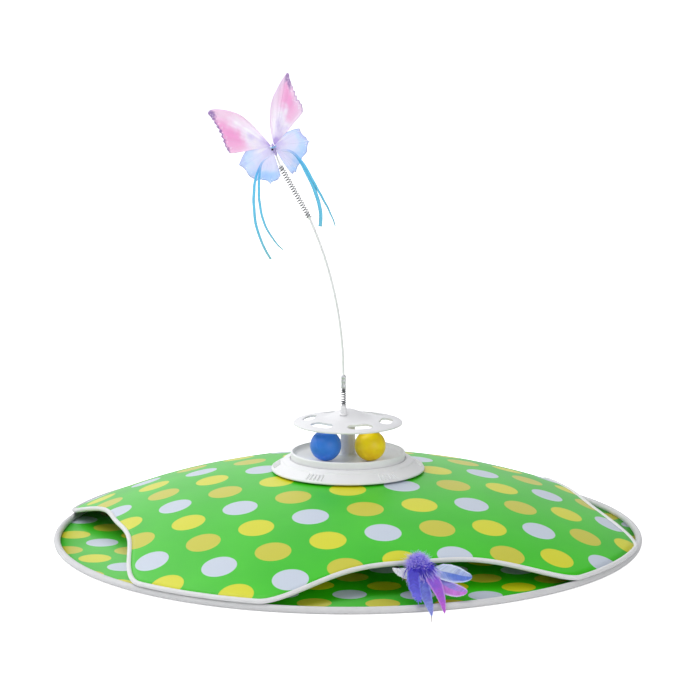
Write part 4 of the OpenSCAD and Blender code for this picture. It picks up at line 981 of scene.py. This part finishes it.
# printed organza film: sheer and a little glossy, inks run into each other, veins are heat-pressed and
# glitter is scattered along the outer margin
def printedFilm(name, inks, patch, margin):
    material, tree = newMaterial(name, Roughness=0.45, IOR=1.45, Sheen_Weight=0.15, Sheen_Roughness=0.35,
                                 Emission_Strength=0.2)
    at = addNode(tree, "TexCoord", {})
    uv = addNode(tree, "UVMap", {}, uv_map="wing")
    u, v = addNode(tree, "SeparateXYZ", {"Vector": uv}).node.outputs[:2]

    # how near the film is to a place round the outline
    def nearTo(spot, wide, full, most):
        off = addNode(tree, "Math", {0: u, 1: spot}, operation="SUBTRACT")
        apart = addNode(tree, "Math", {0: off}, operation="ABSOLUTE")
        return addNode(tree, "MapRange", {"Value": apart, "From Min": wide, "From Max": full,
                                          "To Max": most}, **eased)

    run = addNode(tree, "TexNoise", {"Vector": at, **noiseOf(13, 2)})
    bleed = addNode(tree, "MapRange", {"Value": run, "From Min": 0.25, "From Max": 0.75, "To Min": -0.2,
                                       "To Max": 0.2})
    out = addNode(tree, "Math", {0: v, 1: bleed}, operation="ADD")
    # a stronger patch of ink towards the outer corner, worn at the edge
    outer = addNode(tree, "MapRange", {"Value": out, "From Min": patch["start"], "From Max": patch["full"]},
                    **eased)
    wears = addNode(tree, "MapRange", {"Value": v, "From Min": 0.8, "From Max": 0.97, "To Min": 1,
                                       "To Max": patch["worn"]}, **eased)
    held = addNode(tree, "Math", {0: outer, 1: wears}, **times)
    strong = addNode(tree, "Math", {0: nearTo(patch["at"], patch["wide"], 0, 0.85), 1: held}, **times)
    # painted highlight: a pale streak near the leading edge stands for the gloss of the film
    paintedHighlightEnd = addNode(tree, "MapRange", {"Value": out, "From Min": 0.7, "From Max": 0.45}, **eased)
    paintedHighlightRoot = addNode(tree, "MapRange", {"Value": v, "From Min": 0.1, "From Max": 0.3})
    paintedHighlightRun = addNode(tree, "Math", {0: paintedHighlightEnd, 1: paintedHighlightRoot}, **times)
    paintedHighlight = addNode(tree, "Math", {0: nearTo(patch["paintedHighlight"], 0.07, 0, 0.6), 1: paintedHighlightRun}, **times)
    # the margin is a thin dark band from the tip to the outer corner, and it is broken up
    start = addNode(tree, "MapRange", {"Value": u, "From Min": margin["from"] - 0.05,
                                       "From Max": margin["from"] + 0.02}, **eased)
    stop = addNode(tree, "MapRange", {"Value": u, "From Min": margin["to"] + 0.05,
                                      "From Max": margin["to"] - 0.02}, **eased)
    side = addNode(tree, "Math", {0: start, 1: stop}, **times)
    fleck = addNode(tree, "TexNoise", {"Vector": at, **noiseOf(2.6, 3)})
    reach = addNode(tree, "MapRange", {"Value": fleck, "From Min": 0.3, "From Max": 0.7, "To Min": -0.035,
                                       "To Max": 0.035})
    edgeAt = addNode(tree, "Math", {0: v, 1: reach}, operation="ADD")
    tipNear = nearTo(margin["tip"], margin["tipWide"], 0.4 * margin["tipWide"], 1)
    tipOut = addNode(tree, "MapRange", {"Value": edgeAt, "From Min": margin["tipStart"],
                                        "From Max": margin["tipStart"] + 0.06, "To Max": margin["share"]})
    tipDark = addNode(tree, "Math", {0: tipNear, 1: tipOut}, **times)
    band = addNode(tree, "MapRange", {"Value": edgeAt, "From Min": margin["start"],
                                      "From Max": margin["start"] + 0.05, "To Max": margin["share"]},
                   **eased)
    sideDark = addNode(tree, "Math", {0: side, 1: band}, **times)
    dark = addNode(tree, "Math", {0: sideDark, 1: tipDark}, operation="MAXIMUM")
    # glitter is under 1 mm, drawn at 2 mm so that it shows
    spark = addNode(tree, "TexVoronoi", {"Vector": at, "Scale": 1 / (2.2 * mm)})
    grain = addNode(tree, "MapRange", {"Value": spark, "From Min": 0.3, "From Max": 0.2})
    strewn = addNode(tree, "MapRange", {"Value": v, "From Min": 0.82, "From Max": 0.9, "To Max": 0.7})
    sown = addNode(tree, "Math", {0: grain, 1: strewn}, **times)
    shown = addNode(tree, "Math", {0: sown, 1: side}, **times)
    rim = addNode(tree, "MapRange", {"Value": v, "From Min": 0.965, "From Max": 1, "To Max": 0.6}, **eased)
    fan = addNode(tree, "Math", {0: u, 1: wingCut["veins"] * math.pi}, **times)
    wave = addNode(tree, "Math", {0: fan}, operation="SINE")
    crest = addNode(tree, "Math", {0: wave}, operation="ABSOLUTE")
    vein = addNode(tree, "MapRange", {"Value": crest, "From Min": 0.14, "From Max": 0, "To Max": 0.2},
                   **eased)
    # all of these lie over the wash, one on another
    tone = addNode(tree, "ValToRGB", {"Fac": out}, inks)
    for share, colour in ((strong, patch["colour"]), (paintedHighlight, "#f8f5fb"), (dark, margin["colour"]),
                          (shown, "#f6eefa"), (rim, margin["rim"]), (vein, margin["rim"])):
        tone = addNode(tree, "Mix", {"Factor": share, "A": tone, "B": linear(colour)}, **tinted)
    bump = addNode(tree, "Bump", {"Height": vein, "Strength": 0.6, "Distance": 0.3 * mm})
    # its own glow stands for the light that comes through it from behind
    return linked(material, Emission_Color=tone, Base_Color=tone, Normal=bump)


# outlines in mm, across the body and along it, from the root round the tip and back
wingSet = {
    "wing_upper_left": {"film": "upper_left", "fold": 8, "back": 0, "scallop": (0.42, 0.76, 9), "outline": [
        (-1.8, 4.6), (-8, 21), (-17, 40), (-28, 51), (-44, 58.5), (-50.5, 56), (-48.5, 46), (-46.4, 33),
        (-46.6, 20), (-44, 11.6), (-30, 8.6), (-15, 6.4)]},
    "wing_upper_right": {"film": "upper_right", "fold": 22, "back": 0, "scallop": (0.4, 0.72, 9), "outline": [
        (1.8, 4.6), (4, 22), (12, 43), (22.5, 55), (33.5, 64), (39, 66), (39.5, 55), (39.5, 42), (42, 31),
        (39, 24), (31, 19.5), (20, 13.2), (8, 7.4)]},
    "wing_lower_left": {"film": "lower", "fold": 8, "back": 1, "scallop": (0.25, 0.82, 6), "outline": [
        (-2.3, 3.4), (-15, 8.8), (-27, 8.6), (-38.2, -1.4), (-38.6, -4), (-35, -14), (-30.4, -23.4),
        (-28, -24.4), (-22, -25.2), (-16.8, -31), (-14.6, -31.4), (-5.8, -29.2), (-3.6, -27), (-2.8, -17),
        (-2.4, -4)]},
    "wing_lower_right": {"film": "lower", "fold": 22, "back": 1, "scallop": (0.25, 0.8, 6), "outline": [
        (2.3, 4), (13, 10.4), (22, 11.8), (29.4, 10.8), (31.4, 9), (33.6, 1), (36.2, -5), (35.4, -7),
        (28.5, -16), (21.5, -21), (14.6, -28.2), (12, -29.6), (8.4, -28.6), (5, -18), (2.4, -4)]},
}


# a fan from the root to the outline: the fan's own map is round the edge and out from the root
def addWing(name, wing, film, slot):
    side = -1 if wing["outline"][0][0] < 0 else 1
    fold = math.radians(wing["fold"])
    points = [Vector((x / math.cos(fold), 0, z)) * mm for x, z in wing["outline"]]
    root = points[0].copy()
    edge = smoothLine(points + [root], 5)[2:-2]
    start, stop, bites = wing["scallop"]
    turn = bodyTurn @ Matrix.Rotation(side * fold, 4, "Z")
    bm = bmesh.new()
    bmesh.ops.create_grid(bm, x_segments=len(edge) - 1, y_segments=wingCut["rings"], size=0.5)
    spots = {}
    for vert in bm.verts:
        u, v = vert.co.x + 0.5, vert.co.y + 0.5
        spots[vert] = (u, v)
        rim = edge[round(u * (len(edge) - 1))]
        reach = v
        if start < u < stop:
            bite = abs(math.sin(math.pi * bites * (u - start) / (stop - start)))
            reach *= 1 - wingCut["bite"] * v ** 6 * bite
        at = root + (rim - root) * reach
        # a shallow cup, with a ripple from vein to vein
        at.y = wing["back"] * mm + wingCut["cup"] * (1 - math.cos(2 * math.pi * min(1, 0.75 * v))) / 2
        at.y += wingCut["ripple"] * v * math.cos(wingCut["veins"] * 2 * math.pi * u)
        vert.co = turn @ at
    mapCorners(bm, "wing", spots.get)
    bmesh.ops.remove_doubles(bm, verts=bm.verts, dist=weld)
    piece = finishPiece(bm, name + "_film", film, clean=False)
    place(applied(thickened(piece, wingCut["thick"])), "butterfly", slot, name)


def addWings():
    films = {name: printedFilm("printed organza film, " + name.replace("_", " "), film["inks"],
                               film["patch"], film["margin"]) for name, film in filmSet.items()}
    for name, wing in wingSet.items():
        addWing(name, wing, films[wing["film"]], "wing_lilac" if wing["film"] == "lower" else "wing_pink")


bodySet = {"half": 7.5 * mm, "r": 2.1 * mm, "slim": 0.96, "swell": 0.6, "rings": 9, "ringedTo": 0.7,
           "ringDeep": 0.1}


# the abdomen is ringed
def addBody():
    half, steps = bodySet["half"], 4 * bodySet["rings"]
    profile = [(0, -half)]
    for i in range(1, steps):
        share = i / steps
        swell = math.sin(math.pi * share) ** bodySet["swell"]
        dent = abs(math.sin(math.pi * bodySet["rings"] * share)) if share < bodySet["ringedTo"] else 0
        profile.append((bodySet["r"] * bodySet["slim"] * swell * (1 - bodySet["ringDeep"] * dent),
                        -half + 2 * half * share))
    profile.append((0, half))
    bm = bmesh.new()
    turned(bm, profile, 0, 32)
    bmesh.ops.transform(bm, verts=bm.verts, matrix=bodyTurn)
    piece = finishPiece(bm, "butterflyBodyFlocked", flockedBody("flocked pipe cleaner"))
    place(piece, "butterfly", "dark_body", "butterfly_body")


knotSet = {"r": 2.5 * mm, "at": 2.6 * mm, "rise": 0.9 * mm, "turn": 2.2, "start": 0.6, "steps": 32,
           "width": 1.5 * mm, "thick": 0.3 * mm, "dyes": [(0, "#79d2f0"), (1, "#6cc8ec")],
           "bead": (-1.7 * mm, -2.2 * mm, 1.2 * mm), "beadR": 1.2 * mm, "beadFlat": 0.8}


# a turn of ribbon round the body hides where the four ribbons are tied, and a glass bead sits beside it
def addKnot():
    line = []
    for i in range(knotSet["steps"] + 1):
        share = i / knotSet["steps"]
        turn = math.pi * (knotSet["turn"] * share - knotSet["start"])
        line.append(bodyTurn @ Vector((knotSet["r"] * math.cos(turn), knotSet["r"] * math.sin(turn),
                                       knotSet["at"] + knotSet["rise"] * share)))
    satin = satinRibbon("cyan satin ribbon, knot", knotSet["dyes"])
    wrap = bandAlong("butterflyKnotWrap", line, knotSet["width"], knotSet["thick"], (90, 90), satin)[0]
    place(wrap, "butterfly", "ribbon")
    r = knotSet["beadR"]
    bm = bmesh.new()
    bmesh.ops.create_uvsphere(bm, u_segments=24, v_segments=16, radius=r)
    ends = [v for v in bm.verts if abs(v.co.z) > 0.92 * r]
    bmesh.ops.scale(bm, verts=ends, vec=(1, 1, knotSet["beadFlat"]))    # flat where the thread goes through
    bmesh.ops.transform(bm, verts=bm.verts, matrix=bodyTurn @ Matrix.Translation(knotSet["bead"]))
    glass = mouldedAbs("black glass bead", "#17171b", "#101014", 0.14)
    place(finishPiece(bm, "butterflyBead", glass), "butterfly", "dark_body")


stemSet = {"r": 1 * mm, "into": 3 * mm, "steps": 8}


# the stem is a sleeved wire with the plug that fills the spring's end
def addStem():
    along = bodyLean.to_3x3() @ Vector((0, 0, 1))
    length = wandSet["stemL"] - bodySet["half"] + stemSet["into"]
    line = [springTip + along * length * k / stemSet["steps"] for k in range(stemSet["steps"] + 1)]
    stem = barAlong("butterflyStemWire", line, stemSet["r"], coatedWire("nylon-sleeved stem"), 3)
    plugR, plugEnd = wandSet["plugR"], wandSet["plugEnd"]
    addPlug(stem, [(0, -5 * mm), (plugEnd, -5 * mm), (plugR, -4.5 * mm), (plugR, 0.5 * mm),
                   (1.2 * mm, 1 * mm), (0, 1 * mm)], springTip)
    place(stem, "butterfly", "steel", "butterfly_stem")


addWings()
addBody()
addKnot()
addStem()


print("feathers")


# dyed goose feather: barbs that differ a little from one to the next, with the dye worn pale at their tips
def dyedFeather(name, root, tip, edge, worn=0.62):
    material, tree = newMaterial(name, Roughness=0.6, Sheen_Weight=0.1, Sheen_Roughness=0.3,
                                 Subsurface_Weight=0.2, Subsurface_Scale=2 * mm, Emission_Strength=0.14)
    at = addNode(tree, "TexCoord", {})
    uv = addNode(tree, "UVMap", {}, uv_map="barb")
    u, v = addNode(tree, "SeparateXYZ", {"Vector": uv}).node.outputs[:2]
    patch = addNode(tree, "TexNoise", {"Vector": at, **noiseOf(6, 2)})
    drift = addNode(tree, "MapRange", {"Value": patch, "From Min": 0.25, "From Max": 0.75, "To Min": -0.25,
                                       "To Max": 0.25})
    along = addNode(tree, "Math", {0: u, 1: drift}, operation="ADD")
    dye = addNode(tree, "ValToRGB", {"Fac": along}, [(0.05, root), (0.9, tip)])
    each = addNode(tree, "TexNoise", {"W": u, "Scale": 70, "Detail": 2}, noise_dimensions="1D")
    strand = addNode(tree, "MapRange", {"Value": each, "From Min": 0.3, "From Max": 0.7, "To Min": 0.78,
                                        "To Max": 1.12})
    dyed = addNode(tree, "VectorMath", {0: dye, "Scale": strand}, operation="SCALE")
    pale = addNode(tree, "MapRange", {"Value": v, "From Min": worn, "From Max": 1, "To Max": 0.9}, **eased)
    tone = addNode(tree, "Mix", {"Factor": pale, "A": dyed, "B": linear(edge)}, **tinted)
    bump = addNode(tree, "Bump", {"Height": each, "Strength": 0.4, "Distance": 0.3 * mm})
    # its own glow stands for the light that comes through a vane from behind
    return linked(material, Emission_Color=tone, Base_Color=tone, Normal=bump)


# half: how wide the vane is at even steps from root to tip, in mm; bare: where the vane ends and the quill
# goes on; sweep: how far forward a barb reaches; lean: how much further the dye has run on the lower side;
# spine: sideways, beyond the arm and up, in mm
armSet = {"bearing": 16, "reach": 239.5 * mm, "flat": (0, -0.8, 1)}
barbSet = {"apart": 0.4 * mm, "wide": 1 * mm, "taper": 0.6, "bow": 0.22, "locks": 15, "spineSteps": 14,
           "quillWide": 1 * mm, "quillTaper": 0.3, "quillDown": 0.45 * mm}
plumeSet = {
    "feather_long_blue": {
        "slot": "feather_blue", "inks": ("#4440bc", "#7f8cd6", "#8e9ae4"), "lean": 0,
        "sweep": 0.2, "ragged": 0.3, "fray": 0.3, "bare": 0.84, "half": (4, 7, 7.2, 6.2, 5, 3),
        "spine": [(-6.1, 25, 28.6), (-7.4, 41, 22.4), (-10, 62, 14.2), (-12.6, 82, 7.4), (-17.2, 100, 1.5)]},
    "feather_blue_drape": {
        "slot": "feather_blue", "inks": ("#463cbe", "#5f5ed8", "#8186ea"), "lean": 0,
        "sweep": 0.3, "ragged": 0.36, "fray": 1, "bare": 1, "half": (4, 6.8, 7.4, 7.4, 7.4, 7.4),
        "spine": [(-11.6, 25, 35), (-15.4, 36, 28.4), (-18, 50, 20.4), (-19, 64, 13.4)]},
    "feather_long_pink": {
        "slot": "feather_pink", "inks": ("#8456d2", "#bb58ce", "#cf98e2"), "lean": 0,
        "sweep": 0.22, "ragged": 0.12, "fray": 0.1, "bare": 1, "half": (4.6, 7.4, 6.8, 5.2, 3.6, 2),
        "spine": [(2.6, 25, 30.4), (4.2, 38, 24.4), (5, 50, 17.2), (4.8, 62, 9.8), (3.2, 74.5, 2.2)]},
    "feather_broad_blue": {
        "slot": "feather_blue", "inks": ("#c2cbe2", "#5a78d2", "#dde3f6"), "lean": 0.34,
        "sweep": 0.24, "ragged": 0.04, "fray": 0, "bare": 1, "half": (4, 9.4, 11, 10.6, 9, 6.4),
        "spine": [(5.6, 24, 31), (16.4, 28, 29.4), (26.5, 31, 27.2), (34, 34, 25.4), (42, 36.5, 24.4)]},
    "feather_broad_pink": {
        "slot": "feather_pink", "inks": ("#8f84da", "#c46cd0", "#e0c8ee"), "lean": 0.3,
        "sweep": 0.24, "ragged": 0.05, "fray": 0, "bare": 1, "half": (4, 8.4, 9.8, 9, 6.8),
        "spine": [(9, 26, 22.8), (15, 40, 18.6), (21.6, 50, 16.2), (30, 58.4, 15.8)]},
    "feather_short_pale": {
        "slot": "feather_pale", "inks": ("#e2e2e8", "#f0f0f3", "#fbfbfc"), "lean": 0,
        "sweep": 0.2, "ragged": 0.16, "fray": 0.2, "bare": 1, "half": (6.4, 7.6, 7, 5, 2.8),
        "spine": [(-9, 19, 28), (-18.6, 21, 28.2), (-27.6, 25.6, 31.6), (-33.4, 28.6, 35.8)]},
}


# one barb: a narrow strip of a few faces along a short line
def addBarb(bm, uv, line, width, up, share, taper):
    strip = bmesh.ops.create_grid(bm, x_segments=1, y_segments=len(line) - 1, size=0.5)["verts"]
    last = len(line) - 1
    where = {}
    for vert in strip:
        i = round((vert.co.y + 0.5) * last)
        along = line[min(i + 1, last)] - line[max(i - 1, 0)]
        across = along.cross(up).normalized()
        where[vert] = i / last
        vert.co = line[i] + across * math.copysign(width * (1 - taper * i / last) / 2, vert.co.x)
    for face in {f for v in strip for f in v.link_faces}:
        for loop in face.loops:
            loop[uv].uv = (share, where[loop.vert])


# a place on the spine, and the directions forward and sideways there
def spineAt(spine, share, flat):
    last = len(spine) - 1
    spot = max(0, min(1, share)) * last
    i = min(int(spot), last - 1)
    along = (spine[min(i + 2, last)] - spine[max(i - 1, 0)]).normalized()
    return spine[i].lerp(spine[i + 1], spot - i), along, along.cross(flat).normalized()


def addPlume(name, plume, quills, dice):
    toArm = Matrix.Rotation(math.radians(armSet["bearing"]), 3, "Z")
    points = [toArm @ Vector((x * mm, -armSet["reach"] - y * mm, z * mm)) for x, y, z in plume["spine"]]
    spine = smoothLine(points, barbSet["spineSteps"])
    length = sum((b - a).length for a, b in zip(spine, spine[1:]))
    flat = toArm @ Vector(armSet["flat"])
    widths = plume["half"]
    count = round(plume["bare"] * length / barbSet["apart"])
    bm = bmesh.new()
    uv = bm.loops.layers.uv.new("barb")
    for k in range(count):
        share = k / count
        root, along, across = spineAt(spine, plume["bare"] * share, flat)
        up = across.cross(along)
        for side in (-1, 1):
            # barbs cling together in locks, which part here and there
            lock = noise.noise(Vector((share * barbSet["locks"], side * 5, widths[1])))
            ahead = share + plume["sweep"] * (1 - share) * (1 + plume["ragged"] * lock)
            step = min(0.999, ahead) * (len(widths) - 1)
            j = int(step)
            half = (widths[j] + (widths[j + 1] - widths[j]) * (step - j)) * mm
            half *= math.sqrt(max(0, 1 - ahead ** 5))
            base, onward, aside = spineAt(spine, plume["bare"] * ahead, flat)
            worn = 1 - plume["ragged"] * (0.5 + 0.5 * lock) - dice.uniform(0, 0.05)
            fray = onward * plume["fray"] * share ** 3 * (0.5 + lock) * dice.uniform(2, 7) * mm
            end = root.lerp(base + aside * side * half, worn) + fray
            lift = dice.uniform(-0.3, 0.4) * mm - 0.06 * half
            line = []
            for n in range(5):
                t = n / 4
                bow = across * side * half * barbSet["bow"] * t * (1 - t)
                line.append(root.lerp(end, t) + bow + up * lift * t)
            addBarb(bm, uv, line, barbSet["wide"], up, share + side * plume["lean"], barbSet["taper"])
    inks = dyedFeather("dyed goose feather, " + name.split("_", 1)[1].replace("_", " "), *plume["inks"])
    place(finishPiece(bm, name + "_barbs", inks, clean=False), "feather_drive", plume["slot"], name)
    # the quill is a crossed strip that thins out to the tip
    uv = quills.loops.layers.uv["barb"]
    line = [p - flat * barbSet["quillDown"] for p in spine]
    for facing in (flat, flat.cross(spine[1] - spine[0])):
        addBarb(quills, uv, line, barbSet["quillWide"], facing, 0.5, barbSet["quillTaper"])


downSet = {"strands": 2600, "base": (-2.4 * mm, -254.28 * mm, 21.2 * mm), "tilt": (19, -11),
           "high": 27 * mm, "r": 14.6 * mm, "hanging": 800, "bow": 1.1 * mm, "sag": 2.2 * mm, "core": 0.6,
           "worn": 0.52, "inks": ("#2416a4", "#5a44dc", "#d6c8fb")}


# how far out the down reaches at a share of its height
def pearR(h):
    angle = math.acos(max(-1, min(1, 2 * h - 1)))
    return downSet["r"] * math.sin(angle) * (1 - 0.6 * (angle / math.pi) ** 2)


# marabou down: loose strands from the tied quills up and out to a pear, over a denser core
def addDown(dice):
    high = downSet["high"]
    back, aside = (math.radians(a) for a in downSet["tilt"])
    turn = Matrix.Rotation(math.radians(armSet["bearing"]), 4, "Z") @ Matrix.Translation(downSet["base"])
    turn = turn @ Matrix.Rotation(aside, 4, "Y") @ Matrix.Rotation(back, 4, "X")
    bm = bmesh.new()
    uv = bm.loops.layers.uv.new("barb")
    for _ in range(downSet["strands"]):
        h = dice.random() ** 0.75
        a = dice.uniform(0, 2 * math.pi)
        outward = Vector((math.cos(a), math.sin(a), 0))
        deep = max(0.03, h - dice.uniform(0.12, 0.34))
        root = outward * pearR(deep) * dice.uniform(0.1, 0.45) + Vector((0, 0, deep * high))
        stray = 0.76 + 0.42 * dice.random() ** 2.5
        tip = outward * pearR(h) * stray + Vector((0, 0, h * high * (0.86 + 0.16 * stray)))
        bow = Vector((dice.gauss(0, 1), dice.gauss(0, 1), dice.gauss(0, 1))) * downSet["bow"]
        line = []
        for j in range(5):
            t = j / 4
            line.append(turn @ (root.lerp(tip, t) + bow * math.sin(math.pi * t) - bow * t ** 2))
        facing = Vector((dice.gauss(0, 1), -1.6, dice.gauss(0, 1)))
        addBarb(bm, uv, line, dice.uniform(0.3, 0.62) * mm, facing, h, 0.7)
    # longer strands hang forward over the roots of the feathers
    for _ in range(downSet["hanging"]):
        sway = dice.gauss(0, 1)
        root = Vector((sway * 4.4 * mm, -dice.uniform(2, 9) * mm, dice.uniform(0.25, 0.72) * high))
        drop = Vector((0.3 * sway + dice.gauss(0, 0.16), -0.8, dice.gauss(-0.45, 0.14))).normalized()
        reach = dice.uniform(7, 22) * mm * (1 - 0.16 * abs(sway))
        sag = Vector((0, 0, -downSet["sag"]))
        line = [turn @ (root + drop * reach * j / 4 + sag * (j / 4) ** 2) for j in range(5)]
        wide = dice.uniform(0.4, 0.8) * mm
        addBarb(bm, uv, line, wide, Vector((dice.gauss(0, 0.5), -1, 1)), 0.4 + 0.1 * sway, 0.6)
    core = bmesh.ops.create_uvsphere(bm, u_segments=20, v_segments=14, radius=1)["verts"]
    for vert in core:
        h = (vert.co.z + 1) / 2
        r = pearR(h) * (downSet["core"] + 0.1 * noise.noise(vert.co * 4))
        flat = vert.co.xy.normalized() if vert.co.xy.length > 0.001 else Vector((0, 0))
        vert.co = turn @ Vector((flat.x * r, flat.y * r, (0.06 + 0.8 * h) * high))
    down = dyedFeather("dyed marabou down", *downSet["inks"], worn=downSet["worn"])
    piece = finishPiece(bm, "feather_fluff_down", down, clean=False)
    place(piece, "feather_drive", "feather_blue", "feather_fluff")


def addFeathers():
    dice = random.Random(7)
    quills = bmesh.new()
    quills.loops.layers.uv.new("barb")
    for name, plume in plumeSet.items():
        addPlume(name, plume, quills, dice)
    horn = dyedFeather("horn of the quills", "#b0a29c", "#84705e", "#66513f")
    place(finishPiece(quills, "featherQuills", horn, clean=False), "feather_drive", "feather_pale")
    addDown(dice)


addFeathers()


print("finishes of the inner pieces")


# polypropylene webbing: a ring of coarse ribs with a dull shine
def wovenWebbing(name):
    material, tree = newMaterial(name, Roughness=0.6, Sheen_Weight=0.2)
    at = addNode(tree, "TexCoord", {})
    rows = addNode(tree, "TexWave", {"Vector": at, "Scale": waveScale(1.2), "Distortion": 0.5},
                   wave_type="RINGS", rings_direction="Z")
    fuzz = addNode(tree, "TexNoise", {"Vector": at, **noiseOf(1.5, 3)})
    mixed = addNode(tree, "Mix", {"Factor": 0.4, "A": rows, "B": fuzz})
    tone = addNode(tree, "ValToRGB", {"Fac": mixed}, [(0.2, "#d8d8da"), (0.8, "#f0f0f0")])
    bump = addNode(tree, "Bump", {"Height": mixed, "Strength": 0.5, "Distance": 0.3 * mm})
    return linked(material, Base_Color=tone, Normal=bump)


# PVC shrink sleeve: thin and glossy, with small wrinkles where it shrank on
def shrinkSleeve(name, colour, shade):
    material, tree = newMaterial(name, IOR=1.53, Coat_Weight=0.3, Coat_Roughness=0.15)
    at = addNode(tree, "TexCoord", {})
    wrinkle = addNode(tree, "TexWave", {"Vector": at, "Scale": waveScale(6), "Distortion": 5, "Detail": 3})
    tone = addNode(tree, "ValToRGB", {"Fac": wrinkle}, [(0.2, shade), (0.8, colour)])
    polish = addNode(tree, "MapRange", {"Value": wrinkle, "To Min": 0.24, "To Max": 0.36})
    bump = addNode(tree, "Bump", {"Height": wrinkle, "Strength": 0.15, "Distance": 0.2 * mm})
    return linked(material, Base_Color=tone, Roughness=polish, Normal=bump)


# glass laminate under green solder mask: copper runs show as paler raised lines
def solderMask(name):
    material, tree = newMaterial(name, Roughness=0.35, IOR=1.52)
    at = addNode(tree, "TexCoord", {})
    runs = addNode(tree, "TexBrick", {"Vector": at, "Scale": 1, "Mortar Size": 0.25 * mm,
                                      "Mortar Smooth": 0.2, "Brick Width": 7 * mm, "Row Height": 1.6 * mm,
                                      "Color1": linear("#1f6b3c"), "Color2": linear("#226f40"),
                                      "Mortar": linear("#3c8f58")})
    bump = addNode(tree, "Bump", {"Height": runs.node.outputs["Fac"], "Strength": 0.3,
                                  "Distance": 0.05 * mm})
    return linked(material, Base_Color=runs, Normal=bump)


# the CAD pieces that stay as they are, by finish
innerFinishes = [
    (wovenWebbing("polypropylene webbing"), ["cover_collar"]),
    (mouldedAbs("pale grey moulded ABS", "#dcdde0", "#d0d1d5", 0.45), ["foot_plate", "drive_housing"]),
    (mouldedAbs("grey moulded acetal", "#747880", "#6a6e76", 0.32), ["feather_rotor"]),
    (mouldedAbs("natural moulded acetal", "#e6e4dc", "#dad8cf", 0.3),
     ["upper_pinion", "lower_pinion", "spindle_gear"]),
    (mouldedAbs("black moulded nylon", "#2b2c30", "#222327", 0.4),
     ["feather_arm", "battery_holder", "tact_switch"]),
    (mouldedAbs("orange moulded ABS", "#f0a030", "#e69526", 0.36), ["power_button"]),
    (drawnMetal("zinc-plated steel", "#c2c5c9", "#a6a9ad", 0.36),
     ["foot_screws", "shell_screws", "board_screws", "motor_bracket"]),
    (drawnMetal("drawn motor can", "#b2b5b9", "#9a9da2", 0.3), ["gear_motor"]),
    (drawnMetal("ground steel rod", "#c8cacd", "#b0b2b6", 0.22), ["motor_shaft", "spindle"]),
    (drawnMetal("crimped aluminium", "#bfc2c6", "#a6a9ae", 0.4), ["feather_ferrule"]),
    (drawnMetal("sintered bronze", "#b08a4c", "#8c6a36", 0.5), ["spindle_bushes"]),
    (drawnMetal("nickel-plated steel", "#c9cbce", "#b2b4b8", 0.28), ["charging_port"]),
    (shrinkSleeve("blue PVC shrink sleeve", "#2f7fc4", "#2a74b6"), ["battery_cell"]),
    (solderMask("green laminate"), ["circuit_board"]),
]
for finish, names in innerFinishes:
    for name in names:
        for slot in nodes[name].material_slots:
            slot.material = finish
